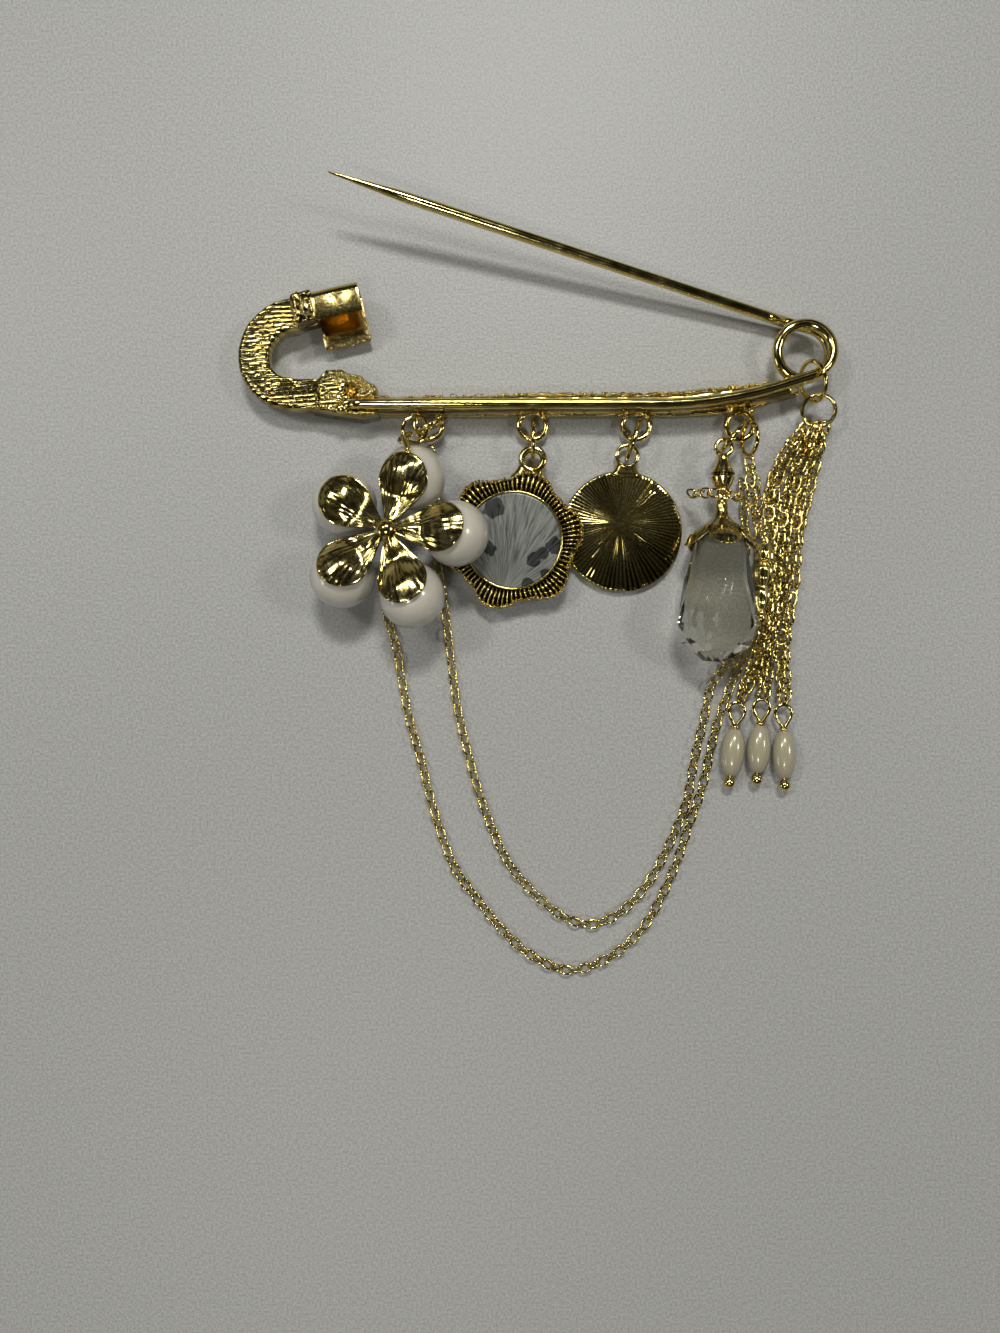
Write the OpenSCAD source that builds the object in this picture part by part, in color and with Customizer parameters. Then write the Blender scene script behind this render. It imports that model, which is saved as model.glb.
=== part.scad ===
// Safety pin brooch with charms and chains, lying face down with its needle open.
// Millimetres, +Z up from the surface it lies on, +Y from the chains' bottom to the needle's tip.

/* [Pin wire] */
// Thickness of the spring wire
wire_d = 1.35; // [1.2:0.05:1.45]
// Outside diameter of the spring coil
coil_d = 8; // [7.4:0.1:8.6]
// Height that the coil's wire drops in one turn
coil_pitch = 1.5; // [1.46:0.01:1.56]
// Length of the needle from its bend to its tip
needle_l = 59; // [57:0.5:59.5]
// Length of the needle's ground point
needle_point_l = 10; // [6:0.5:14]
// Angle between the open needle and the bar
open_angle = 16; // [15:0.5:18]
// Angle that the open needle rises from the surface
rise_angle = 5.9; // [5.5:0.1:6.5]

/* [Cast bar] */
// Distance from the back wire's left end to the coil's middle
bar_span = 56.7; // [56:0.1:57.5]
// Width of the bar's flange across the pin
flange_w = 2.4; // [2.2:0.1:2.8]
// Thickness of the flange
flange_t = 1.5; // [1.2:0.1:1.5]
// Width of the ridge that carries the wire
ridge_w = 2; // [1.9:0.1:2.2]
// Height of the ridge above the surface
ridge_t = 3.6; // [3.5:0.05:3.7]
// Spacing of the four loops along the bar
loop_pitch = 13.1; // [12.9:0.05:13.2]
// Outside diameter of a loop
loop_d = 4.2; // [4:0.1:4.4]
// Thickness of a loop's metal
loop_wire = 0.75; // [0.65:0.05:0.85]

/* [Round head and hood] */
// Outside diameter of the round head
head_d = 13.8; // [13:0.1:14.2]
// Thickness of the round head's metal
head_t = 3.9; // [3.4:0.1:4]
// Length of the hood along the needle
hood_l = 5.8; // [5:0.1:6.2]
// Width of the hood's back wall
hood_w = 4; // [3.8:0.1:4.4]
// Height of the hood above the surface
hood_h = 5.9; // [5.8:0.1:6.2]
// Wall of the hood
hood_wall = 0.65; // [0.5:0.05:0.8]

/* [Flower] */
// Diameter of a round pearl
pearl_d = 8; // [7.4:0.1:8.2]
// Distance from the flower's middle to a pearl's middle
flower_r = 7.8; // [7.6:0.1:8]
// Thickness of a petal
petal_t = 0.45; // [0.35:0.05:0.6]
// Width of a petal
petal_w = 6.1; // [5.4:0.1:6.6]
// Angle of the flower to the surface
flower_tilt = 14; // [12:0.5:16]

/* [Medallion and disc] */
// Reach of the medallion's lobes from its middle
lobe_reach = 8.9; // [8.6:0.1:9]
// Radius of one lobe
lobe_r = 3.2; // [2.8:0.1:3.4]
// Radius of the frame between its lobes
frame_r = 7.8; // [7.5:0.1:8]
// Radius of the medallion's window
window_r = 6.05; // [5.6:0.05:6.3]
// Thickness of the medallion's frame
frame_t = 2.6; // [2.4:0.1:2.8]
// Diameter of the round charm
disc_d = 15.2; // [14.6:0.1:15.6]
// Thickness of the round charm at its rim
disc_rim = 0.9; // [0.7:0.05:1]
// Thickness of the round charm at its middle
disc_mid = 1.3; // [1.1:0.05:1.5]

/* [Drop] */
// Width of the clear drop at its girdle
crystal_w = 10.2; // [9.6:0.1:10.4]
// Length of the clear drop
crystal_l = 15.2; // [14.5:0.1:15.6]
// Number of facets round the clear drop
crystal_sides = 10; // [8:2:12]
// Width of the petal cap at its mouth
cap_w = 9; // [8.6:0.1:9.2]
// Length of the petal cap
cap_l = 6.6; // [6:0.1:7]
// Diameter of the stem's barrel
barrel_d = 3; // [2.6:0.1:3.2]
// Length of the stem's barrel
barrel_l = 4.6; // [4:0.1:5]
// Diameter of the lantern charm
lantern_d = 2.6; // [2.3:0.1:2.7]
// Length of the lantern charm
lantern_l = 10; // [9:0.1:10.5]

/* [Chains and tassel] */
// Length of a chain link
link_l = 1.9; // [1.88:0.01:2]
// Width of a chain link
link_w = 1.45; // [1.4:0.01:1.5]
// Thickness of a link's wire
link_wire = 0.28; // [0.25:0.01:0.29]
// Clearance between two links that pull on each other
link_gap = 0.12; // [0.1:0.01:0.14]
// Thickness of a jump ring's wire
ring_wire = 0.55; // [0.45:0.05:0.6]
// Diameter of a rice pearl
rice_d = 3; // [2.8:0.05:3.1]
// Length of a rice pearl
rice_l = 6; // [5.6:0.1:6.2]
// Thickness of an eye pin's wire
eye_wire = 0.7; // [0.6:0.05:0.8]
// Diameter of the ball on an eye pin's end
ball_d = 1.5; // [1.3:0.05:1.6]

/* [Hidden] */
$fn = 48;

// Clearance between pieces that are set in each other
gap = 0.1;
// How far fused solids reach into each other
bite = 0.3;
// How much a bead of solder stands round a joint in the wire
joint_more = 0.04;
// How much thinner the head's straight arm is than its curve
arm_less = 0.1;

// Colours
GOLD = [0.72, 0.64, 0.33];
PEARL = [0.93, 0.91, 0.86];
CLEAR = [0.8, 0.82, 0.82];

// Places, all from the middle of the photographed view
// Height of the back wire's line across the view
wire_y = 32.5;
// Left end of the back wire
wire_x = -18.8;
// Middle of the first loop
loop_x = -9;
// Middle of the round head, and the angle where its curve starts at the hood
head_at = [-25.9, 38.4];
head_start = 62;

// Pin wire
wire_r = wire_d / 2;
coil_r = coil_d / 2 - wire_r;
wire_z = ridge_t + wire_r - 0.125;
coil_x = wire_x + bar_span;
coil_y = 39.25;
// Direction of the back wire where it meets the coil, and the angle there round the coil
slope = 17.5;
meet = slope - 90;
half_drop = coil_pitch / 2;
coil_tilt = atan(half_drop / 2 / coil_r);
arc_r = coil_r / cos(coil_tilt);
meet_at = [coil_x + coil_r * cos(meet), coil_y + coil_r * sin(meet)];
// Corner where the back wire turns up to the coil
bend_x = meet_at[0] - (meet_at[1] - wire_y) / tan(slope);
// The last part turn, from under the back wire round to the needle
last_turn = 90 + (180 - open_angle) - 180 - meet;
last_z = wire_z - 2 * half_drop - half_drop / 2;
split = 1.5;
stub_l = 3.2;
// The needle's pivot is at the end of the last turn's straight stub
pivot_flat = [arc_r * cos(last_turn) - stub_l * sin(last_turn), arc_r * sin(last_turn) + stub_l * cos(last_turn)];
pivot_x = pivot_flat[0] * cos(coil_tilt);
pivot_z = last_z + pivot_flat[0] * sin(coil_tilt);
pivot = [
    coil_x + pivot_x * cos(meet) - pivot_flat[1] * sin(meet),
    coil_y + pivot_x * sin(meet) + pivot_flat[1] * cos(meet),
    pivot_z
];
needle_way = 180 - open_angle;
tip_y = pivot[1] + needle_l * cos(rise_angle) * sin(needle_way);

// Chains' lowest point in the view, and the middle of the whole brooch, which is the origin
swag_low = -38.2;
middle_x = (coil_x + coil_d / 2 + head_at[0] - head_d / 2) / 2;
middle_y = (tip_y + swag_low - link_w / 2) / 2;

// Bar
bar_top = wire_y + ridge_w - 0.5;
flange_y = bar_top - flange_w;
// Line that the loops and the stepped end are set from
low_y = wire_y - 1.75;
loop_y = low_y - 0.35;
loop_z = 1.2;
loop_neck_w = 1.2;
loop_neck_l = 1.7;
bar_left = wire_x - 2;
bar_tip = 37.6;
// Points along the bar's right end: place, and how far its low edge rises there
bar_steps = [[23, 0], [28, 0.6], [33, 1.3], [bar_tip, 1.7]];

// Hood
hood_at = [-22.4, 42.1];
hood_turn = 13;
hood_z = 1.2;
plate_more = 2.4;
end_l = 2.1;

// Flower
flower_at = [-13, 15.8, 5.95];
flower_turn = 73;
flower_lean = [1, 1, 0];
pearl_r = pearl_d / 2;
petal_reach = flower_r + 1.8;
hub_z = 3.3;

// Medallion and disc
medallion_tilt = 4;
medallion_at = [1.7, 15.8, frame_t / 2 + lobe_reach * sin(medallion_tilt) + 0.02];
medallion_turn = 11;
tab_turn = 76.6;
tab_reach = 10.4;
tab_r = 1.8;
tab_hole = 0.97;
tab_t = 1.1;
tab_neck_w = 2.6;
disc_at = [15.4, 17.1, 0];
disc_tab_turn = 86;
disc_tab_reach = 9.5;
disc_tab_r = 1.55;
disc_tab_hole = 1.12;
disc_tab_t = 0.6;
disc_tab_z = 0.9;

// Drop, which lies along its own axis from the stem's eye to the crystal's foot
drop_eye = [27.7, 27.1, 4];
drop_turn = -92.6;
drop_dip = 2.3;
eye_r = 1;
neck_at = 6.4;
cap_at = 7;
crystal_at = cap_at + cap_l - 2.2;

// Lantern charm
lantern_at = [32.9, 15.3, 3.5];
lantern_end = [32.4, 5.4, 3.4];

// A ring of wire through two points, which leans towards up from the line between them
function unit(v) = v / norm(v);
function ring_middle(a, b, up, r) =
    let(mid = (a + b) / 2, along = unit(b - a), side = unit(up - along * (up * along)))
    mid + side * sqrt(max(0, r * r - pow(norm(b - a) / 2, 2)));
function ring_normal(a, b, up) = unit(cross(b - a, up));

// Holes that the jump rings hang from
function loop_hole(i, move = [0, 0, 0]) = [loop_x + i * loop_pitch, low_y - 0.85, loop_z] + move;
medallion_hole = medallion_at + tab_reach * [cos(tab_turn), sin(tab_turn), cos(tab_turn) * sin(medallion_tilt)];
disc_hole = disc_at + [disc_tab_reach * cos(disc_tab_turn), disc_tab_reach * sin(disc_tab_turn), disc_tab_z + disc_tab_t / 2];
flower_tab = [-11.71, 28.27, 4.3];
// Where the flower's two jump rings meet
flower_link = [-10.5, 29.2, 3.2];
// Point of the flower's second jump ring that is held in the first one, and how that ring leans
flower_link_2 = flower_link + [1.39, 0.56, -0.05];
link_up = [0.38, 0.56, -0.06];
link_r = 1.66;

// The way that the jump ring goes through the flower's own ring, and the wire from that ring to the top petal
tab_way = unit(cross(flower_tab - ring_middle(flower_link_2, flower_tab, link_up, link_r),
    ring_normal(flower_link_2, flower_tab, link_up)));
own_ring_r = 0.85;
tab_wire = [
    [-10.95, 25.75, 8.6], [-11.7, 27.9, 7.1],
    flower_tab + own_ring_r * unit([0, 0, 1] - tab_way * tab_way[2])
];

// Chains
link_pitch = link_l - 2 * link_wire - link_gap;
bead_z = rice_d / 2;

// Routes of the chains, from points chosen along them
outer_route = [
    [-10.9, 28, 1.6], [-12.4, 25.4, 0.9], [-13.3, 21.5, 0.72], [-13.7, 16, 0.72], [-14.4, 11, 0.72],
    [-14.4, 6.8, 0.72], [-13.3, 3, 0.72], [-12.4, -2, 0.72], [-11.5, -6.7, 0.72], [-10.1, -11.5, 0.72],
    [-8.9, -16.4, 0.72], [-7.6, -20.7, 0.72], [-5.7, -25.6, 0.72], [-2.4, -30.1, 0.72], [0.4, -33.5, 0.72],
    [4.1, -36.7, 0.72], [8.8, -38.5, 0.72], [13.6, -37, 0.72], [17.7, -33.6, 0.72], [20.2, -29.7, 0.72],
    [22.4, -24.8, 0.72], [24.1, -19.6, 0.72], [25.6, -15.4, 0.72], [26.8, -10.1, 0.72], [27.75, -6.5, 0.72],
    [30.1, -0.3, 0.72], [32.3, 4.2, 0.72], [32.9, 9, 0.72], [32.8, 13.4, 0.72], [32.7, 18.4, 0.72],
    [32.6, 22, 0.72], [32, 24.6, 1], [31, 26.6, 1.4]
];
inner_route = [
    [-8.8, 27.6, 1.6], [-8.3, 25, 0.9], [-8.2, 21, 0.72], [-8.3, 16, 0.72], [-7.6, 11.4, 0.72],
    [-6.7, 5, 0.72], [-5.8, -2.6, 0.72], [-5.1, -6.7, 0.72], [-3.8, -12, 0.72], [-2.5, -16.5, 0.72],
    [-0.9, -20.8, 0.72], [1, -24.8, 0.72], [3.9, -28.3, 0.72], [7.7, -31.5, 0.72], [11.4, -32.7, 0.72],
    [15, -31.3, 0.72], [18.5, -27.8, 0.72], [21.2, -23.1, 0.72], [23.6, -17.3, 0.72], [24.6, -11.9, 0.72],
    [26, -6, 0.72], [26.6, -2.9, 0.72], [28, -0.6, 0.72], [29.8, 1.6, 0.72], [30.8, 4.2, 0.72],
    [31.2, 9, 0.72], [31.1, 13.4, 0.72], [31, 18.4, 0.72], [30.8, 22, 0.72], [30.3, 24.6, 0.9]
];
tassel_routes = [
    [
        [37.9, 29.4, 1.6], [35.4, 26.2, 0.8], [34.4, 22.3, 0.8], [34.3, 18.5, 1], [34.3, 13.4, 2],
        [34.1, 9, 2.05], [33.2, 4.2, 2.05], [32.2, 1, 2.05], [31.4, -1.6, 1.5], [30.7, -3.3, 1.4]
    ],
    [
        [39.5, 29.1, 1.6], [37.4, 24.8, 0.8], [36, 18.6, 0.8], [35.2, 11.6, 0.8], [34.1, 5.5, 0.8],
        [33.8, 1.3, 0.8], [33.5, -1.5, 0.9], [33.2, -3.1, 1.3]
    ],
    [
        [41.1, 29.2, 1.6], [39.3, 24.8, 0.8], [37.8, 18.6, 0.8], [37, 12, 0.8], [36.1, 6.1, 0.8],
        [35.8, 2.1, 0.8], [35.7, -1.8, 0.9], [35.7, -3.7, 1.3]
    ]
];
lantern_route = [[31.1, 25.2, 3], [31.2, 22.5, 3.3], [31.6, 19.5, 3.5], [32.4, 16.5, 3.5]];
neck_route = [
    [23.6, 21.6, 2.6], [24.6, 21.4, 4.3], [25.8, 21.2, 5.8], [27.4, 21, 6.4], [28.9, 20.8, 5.7], [30, 20.5, 4.2]
];

// Rice pearls, each from the middle of the pearl, its turn in the view and the length of its pin above
rice_pearls = [
    [29.3, -10.8, -6],
    [32.6, -10.4, -4],
    [35.8, -11.1, 1]
];

// Smooth curve through chosen points
function ends(pts) = concat([2 * pts[0] - pts[1]], pts, [2 * pts[len(pts) - 1] - pts[len(pts) - 2]]);
function bend(p0, p1, p2, p3, t) =
    ((2 * p1) + (p2 - p0) * t + (2 * p0 - 5 * p1 + 4 * p2 - p3) * t * t + (3 * p1 - p0 - 3 * p2 + p3) * t * t * t) / 2;
function smooth(pts, n) =
    let(e = ends(pts))
    concat([for (i = [1:len(e) - 3], j = [0:n - 1]) bend(e[i - 1], e[i], e[i + 1], e[i + 2], j / n)], [pts[len(pts) - 1]]);
function lengths(path, i = 1, sums = [0]) =
    i >= len(path) ? sums : lengths(path, i + 1, concat(sums, [sums[i - 1] + norm(path[i] - path[i - 1])]));
function at_length(path, sums, s) =
    let(i = max([for (k = [0:len(sums) - 2]) if (sums[k] <= s) k]))
    path[i] + (path[i + 1] - path[i]) * (s - sums[i]) / (sums[i + 1] - sums[i]);

// Moves a piece from the view to the brooch's own middle
module lay() {
    translate([-middle_x, -middle_y, 0]) children();
}

// Points its child's +Z along a direction
module aim(v) {
    rotate([0, acos(v[2] / norm(v)), atan2(v[1], v[0])]) children();
}

module wire_ring(r, wire) {
    rotate_extrude() translate([r, 0]) circle(d = wire);
}

module jump_ring(a, b, up, r) {
    lay() translate(ring_middle(a, b, up, r)) aim(ring_normal(a, b, up)) wire_ring(r, ring_wire);
}

// Straight wire between two points
module rod(a, b, d) {
    translate(a) aim(b - a) cylinder(d = d, h = norm(b - a));
}

// Bead round a joint in the spring wire, along the way that the wire goes
module joint_ball(turn) {
    rotate([0, 90, turn]) sphere(d = wire_d + joint_more);
}

// One part turn of the coil, which drops as it goes round from its start
module coil_arc(start, z, from, sweep) {
    translate([coil_x, coil_y, z]) rotate([0, 0, start]) rotate([0, -coil_tilt, 0]) rotate([0, 0, from])
        rotate_extrude(angle = sweep) translate([arc_r, 0]) circle(d = wire_d);
}

module bar_outline(y, top) {
    polygon(concat(
        [[bar_left, y]], [for (p = bar_steps) [p[0], y + p[1]]],
        [[bar_tip, top + 0.3], [bar_tip - 3.1, top + 1.1], [bar_steps[1][0], top + 0.9]],
        [[bar_steps[0][0] + 1, top], [bar_left, top]]
    ));
}

module hood() {
    translate([hood_at[0], hood_at[1], 0]) rotate([0, 0, hood_turn]) {
        translate([0, 0, hood_h - hood_wall]) cube([hood_l, hood_w, hood_wall]);
        translate([0, hood_w - hood_wall, hood_z]) cube([hood_l, hood_wall, hood_h - hood_z]);
        translate([0, -plate_more, hood_z]) cube([hood_l, hood_w + plate_more, hood_wall]);
        // Closed end, with a pocket for the needle's tip
        difference() {
            translate([-end_l, 0.6, hood_z]) cube([end_l + bite, hood_w - 0.6, hood_h - hood_z - 0.3]);
            translate([-end_l + 0.4, 0, 2.7]) cube([end_l + 1, 2.9, 1.2]);
        }
    }
}

module pin_frame() {
    color(GOLD) lay() {
        // Bar, its ridge and the stepped end under the round head
        linear_extrude(flange_t) bar_outline(flange_y, bar_top);
        linear_extrude(ridge_t) bar_outline(bar_top - ridge_w, bar_top);
        translate([bar_left - 1.6, low_y - 0.6, 0]) cube([3, 6.2, 4.1]);
        translate([bar_left + 1.2, low_y - 0.9, 0]) cube([2.6, 5.6, 4.6]);
        translate([bar_left + 3.6, low_y - 0.4, 0]) cube([1.9, 4.2, 4]);
        // Round head, which runs straight on into the stepped end
        translate([head_at[0], head_at[1], head_t / 2]) {
            rotate([0, 0, head_start]) rotate_extrude(angle = 270 - head_start)
                translate([(head_d - head_t) / 2, 0]) circle(d = head_t);
            translate([-bite, (head_t - head_d) / 2, 0]) rotate([0, 90, 0])
                cylinder(d = head_t - arm_less, h = bar_left - head_at[0] + bite);
        }
        hood();
        for (i = [0:3]) translate([loop_x + i * loop_pitch, loop_y, loop_z]) {
            wire_ring((loop_d - loop_wire) / 2, loop_wire);
            translate([-loop_neck_w / 2, loop_d / 2 - loop_wire, -loop_wire / 2])
                cube([loop_neck_w, loop_neck_l, loop_wire]);
        }
        // Back wire and the coil's first turn
        rod([wire_x, wire_y, wire_z], [bend_x, wire_y, wire_z], wire_d);
        translate([bend_x, wire_y, wire_z]) joint_ball(0);
        translate([meet_at[0], meet_at[1], wire_z]) joint_ball(slope);
        translate([coil_x, coil_y, wire_z - half_drop]) rotate([0, 0, meet + 180]) translate([coil_r, 0, 0]) joint_ball(90);
        rod([bend_x, wire_y, wire_z], [meet_at[0], meet_at[1], wire_z], wire_d);
        coil_arc(meet, wire_z - half_drop / 2, 0, 180);
        coil_arc(meet + 180, wire_z - 1.5 * half_drop, 0, 180);
    }
}

module coil_turn() {
    color(GOLD) lay() difference() {
        union() {
            coil_arc(meet, last_z, split, last_turn - split);
            translate([coil_x, coil_y, last_z]) rotate([0, 0, meet]) rotate([0, -coil_tilt, 0]) rotate([0, 0, last_turn])
                translate([arc_r, 0, 0]) {
                    rotate([-90, 0, 0]) cylinder(d = wire_d, h = stub_l);
                    joint_ball(90);
                }
        }
        translate(pivot) sphere(r = wire_r + 0.05);
    }
}

module needle() {
    color(GOLD) lay() translate(pivot) rotate([0, 0, needle_way]) rotate([0, 90 - rise_angle, 0]) {
        sphere(d = wire_d);
        cylinder(d = wire_d, h = needle_l - needle_point_l);
        translate([0, 0, needle_l - needle_point_l]) cylinder(d1 = wire_d, d2 = 0.25, h = needle_point_l);
    }
}

// Puts its child in the flower's own frame, with the petals' backs up
module in_flower() {
    lay() translate(flower_at) rotate(a = -flower_tilt, v = flower_lean) children();
}

module petal_outline() {
    round_r = petal_w / 2;
    round_x = petal_reach - round_r;
    meet_a = acos(round_r / round_x);
    translate([round_x, 0]) circle(r = round_r);
    polygon([
        [0, 0], [round_x - round_r * cos(meet_a), -round_r * sin(meet_a)],
        [round_x, 0], [round_x - round_r * cos(meet_a), round_r * sin(meet_a)]
    ]);
}

module flower_back() {
    color(GOLD) {
        in_flower() {
            for (i = [0:4]) rotate([0, 0, flower_turn - 72 * i]) difference() {
                union() {
                    intersection() {
                        translate([flower_r, 0, 0]) sphere(r = pearl_r + gap + petal_t);
                        translate([0, 0, 1]) linear_extrude(pearl_r + 2) petal_outline();
                    }
                    translate([0.2, 0, hub_z]) rotate([0, 86, 0]) cylinder(r1 = 0.7, r2 = 1.5, h = flower_r - 1);
                }
                translate([flower_r, 0, 0]) sphere(r = pearl_r + gap);
            }
            translate([0, 0, hub_z - 0.4]) sphere(r = 1.4);
        }
        // Wire from the top petal down to the flower's own ring
        lay() {
            rod(tab_wire[0], tab_wire[1], 0.7);
            translate(tab_wire[1]) sphere(d = 0.74);
            rod(tab_wire[1], tab_wire[2], 0.7);
            translate(flower_tab) aim(tab_way) wire_ring(own_ring_r, 0.5);
        }
    }
}

module flower_pearl(i) {
    color(PEARL) in_flower() rotate([0, 0, flower_turn - 72 * (i - 1)]) translate([flower_r, 0, 0]) sphere(d = pearl_d);
}

// Puts its child in the medallion's own frame
module in_medallion() {
    lay() translate(medallion_at) rotate([0, -medallion_tilt, 0]) children();
}

module medallion_frame() {
    color(GOLD) in_medallion() {
        difference() {
            translate([0, 0, -frame_t / 2]) linear_extrude(frame_t) {
                circle(r = frame_r);
                for (i = [0:5]) rotate(medallion_turn + 60 * i) translate([lobe_reach - lobe_r, 0]) circle(r = lobe_r);
            }
            translate([0, 0, -frame_t]) cylinder(r = window_r, h = 2 * frame_t);
            translate([tab_reach * cos(tab_turn), tab_reach * sin(tab_turn), -frame_t]) cylinder(r = tab_hole, h = 2 * frame_t);
        }
        // Tab, with a neck that joins it to the frame
        translate([0, 0, -tab_t / 2]) rotate([0, 0, tab_turn]) difference() {
            union() {
                translate([tab_reach, 0, 0]) cylinder(r = tab_r, h = tab_t);
                translate([frame_r - 0.5, -tab_neck_w / 2, 0]) cube([tab_reach - frame_r + 0.5, tab_neck_w, tab_t]);
            }
            translate([tab_reach, 0, -1]) cylinder(r = tab_hole, h = tab_t + 2);
        }
    }
}

module medallion_window() {
    color(CLEAR) in_medallion() {
        translate([0, 0, -frame_t / 2 + 0.4]) cylinder(r = window_r - gap, h = frame_t - 0.8);
    }
}

module disc_charm() {
    color(GOLD) lay() translate(disc_at) {
        rotate_extrude() polygon([[0, 0], [disc_d / 2, 0], [disc_d / 2, disc_rim], [0, disc_mid]]);
        rotate([0, 0, disc_tab_turn]) difference() {
            union() {
                translate([disc_tab_reach, 0, disc_tab_z]) cylinder(r = disc_tab_r, h = disc_tab_t);
                translate([disc_d / 2 - 0.5, -0.8, 0]) cube([disc_tab_reach - disc_d / 2 - 0.3, 1.6, disc_tab_z + disc_tab_t]);
            }
            translate([disc_tab_reach, 0, -1]) cylinder(r = disc_tab_hole, h = 4);
        }
    }
}

// Puts its child along the drop's axis, from the stem's eye down
module in_drop() {
    lay() translate(drop_eye) rotate([0, 0, drop_turn]) rotate([0, 90 - drop_dip, 0]) children();
}

module drop_cap() {
    color(GOLD) in_drop() {
        rotate([0, 90, 0]) wire_ring(eye_r, 0.5);
        rotate_extrude() polygon([
            [0, eye_r], [0.8, eye_r], [1, 1.2], [barrel_d / 2 - 0.2, 1.9], [barrel_d / 2, 1.2 + barrel_l / 2],
            [barrel_d / 2 - 0.2, barrel_l + 0.5], [1.1, barrel_l + 1.2], [0.8, neck_at - 0.2], [0.8, neck_at + 0.3],
            [1.6, cap_at + 0.4], [0, cap_at + 0.4]
        ]);
        difference() {
            rotate_extrude() polygon([
                [0, cap_at], [1.5, cap_at], [2.9, cap_at + cap_l * 0.25], [3.9, cap_at + cap_l * 0.55], [cap_w / 2, cap_at + cap_l],
                [cap_w / 2 - 0.5, cap_at + cap_l], [3.9 - 0.5, crystal_at - gap], [0, crystal_at - gap]
            ]);
            for (i = [0:4]) rotate([0, 0, 36 + 72 * i]) translate([0, 0, cap_at + cap_l + 1.4]) rotate([0, 90, 0])
                cylinder(r = 2.1, h = 8);
        }
    }
}

// Rings of corners down the clear drop: share of its length, share of its half width
crystal_rings = [[0, 0.62], [0.68, 1], [0.84, 0.78], [1, 0.24]];
function crystal_corners() = [
    for (k = [0:len(crystal_rings) - 1], i = [0:crystal_sides - 1])
        let(a = (i + (k % 2) / 2) * 360 / crystal_sides, r = crystal_rings[k][1] * crystal_w / 2)
        [r * cos(a), r * sin(a), crystal_rings[k][0] * crystal_l]
];
function crystal_faces(n) = concat(
    [[for (i = [0:n - 1]) i]],
    [for (k = [0:len(crystal_rings) - 2], i = [0:n - 1])
        let(j = (i + 1) % n, s = k % 2)
        [k * n + j, k * n + i, (k + 1) * n + (s == 0 ? i : j)]],
    [for (k = [0:len(crystal_rings) - 2], i = [0:n - 1])
        let(j = (i + 1) % n, s = k % 2)
        s == 0 ? [k * n + j, (k + 1) * n + i, (k + 1) * n + j] : [k * n + i, (k + 1) * n + i, (k + 1) * n + j]],
    [[for (i = [n - 1:-1:0]) (len(crystal_rings) - 1) * n + i]]
);

module crystal_drop() {
    color(CLEAR) in_drop() translate([0, 0, crystal_at]) polyhedron(crystal_corners(), crystal_faces(crystal_sides));
}

module lantern_charm() {
    r = lantern_d / 2;
    l = lantern_l;
    color(GOLD) lay() translate(lantern_at) aim(lantern_end - lantern_at) rotate_extrude() polygon([
        [0, 0], [0.5, 0], [0.6 * r, 0.05 * l], [r, 0.13 * l], [r, 0.22 * l], [0.75 * r, 0.26 * l], [0.95 * r, 0.31 * l],
        [0.8 * r, 0.45 * l], [0.6 * r, 0.55 * l], [0.8 * r, 0.6 * l], [0.8 * r, 0.72 * l], [0.45 * r, 0.8 * l],
        [0.5 * r, 0.92 * l], [0.3 * r, l], [0, l]
    ]);
}

// One link, long way along X
module chain_link() {
    half = (link_l - link_w) / 2;
    r = (link_w - link_wire) / 2;
    for (s = [0, 180]) rotate([0, 0, s]) {
        translate([half, 0, 0]) rotate([0, 0, -90]) rotate_extrude(angle = 180) translate([r, 0]) circle(d = link_wire);
        translate([-half, r, 0]) rotate([0, 90, 0]) cylinder(d = link_wire, h = 2 * half);
    }
}

// Links laid along a route, each a quarter turn from the one before
module chain(route) {
    path = smooth(route, 6);
    sums = lengths(path);
    count = floor(sums[len(sums) - 1] / link_pitch);
    color(GOLD) lay() for (i = [0:count - 1]) {
        a = at_length(path, sums, i * link_pitch);
        b = at_length(path, sums, (i + 1) * link_pitch);
        v = b - a;
        translate((a + b) / 2) rotate([0, -asin(v[2] / norm(v)), atan2(v[1], v[0])]) rotate([i % 2 == 0 ? 45 : -45, 0, 0])
            chain_link();
    }
}

// Tube that stands for a fine chain, which a mesh of links replaces
module chain_tube(route, sides = 8) {
    path = smooth(route, 3);
    n = len(path);
    r = link_w / 2 - 0.05;
    rings = [for (i = [0:n - 1])
        let(v = unit(path[min(i + 1, n - 1)] - path[max(i - 1, 0)]), w = unit(cross(v, [0, 0, 1])), u = cross(w, v))
        for (k = [0:sides - 1]) path[i] + r * (w * cos(k * 360 / sides) + u * sin(k * 360 / sides))];
    faces = concat(
        [[for (k = [0:sides - 1]) k]],
        [for (i = [0:n - 2], k = [0:sides - 1])
            let(m = (k + 1) % sides)
            [i * sides + m, i * sides + k, (i + 1) * sides + k, (i + 1) * sides + m]],
        [[for (k = [sides - 1:-1:0]) (n - 1) * sides + k]]
    );
    color(GOLD) lay() polyhedron(rings, faces);
}

// Puts its child at a rice pearl, with +Y up its pin
module in_rice(i) {
    p = rice_pearls[i - 1];
    lay() translate([p[0], p[1], bead_z]) rotate([0, 0, p[2]]) children();
}

module eye_pin(i) {
    eye = 1;
    foot = rice_l / 2 + 0.1;
    color(GOLD) in_rice(i) {
        rod([0, -foot - ball_d / 3, 0], [0, foot + 1.35, 0], eye_wire);
        translate([0, -foot - ball_d / 2, 0]) sphere(d = ball_d);
        translate([0, foot + 2.2, 0]) wire_ring(eye, 0.5);
    }
}

module rice_pearl(i) {
    belly = rice_l * 0.9;
    color(PEARL) in_rice(i) rotate([90, 0, 0]) rotate_extrude() intersection() {
        translate([rice_d / 2 - belly, 0]) circle(r = belly);
        translate([eye_wire / 2 + 0.1, -rice_l / 2]) square([rice_d, rice_l]);
    }
}

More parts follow.
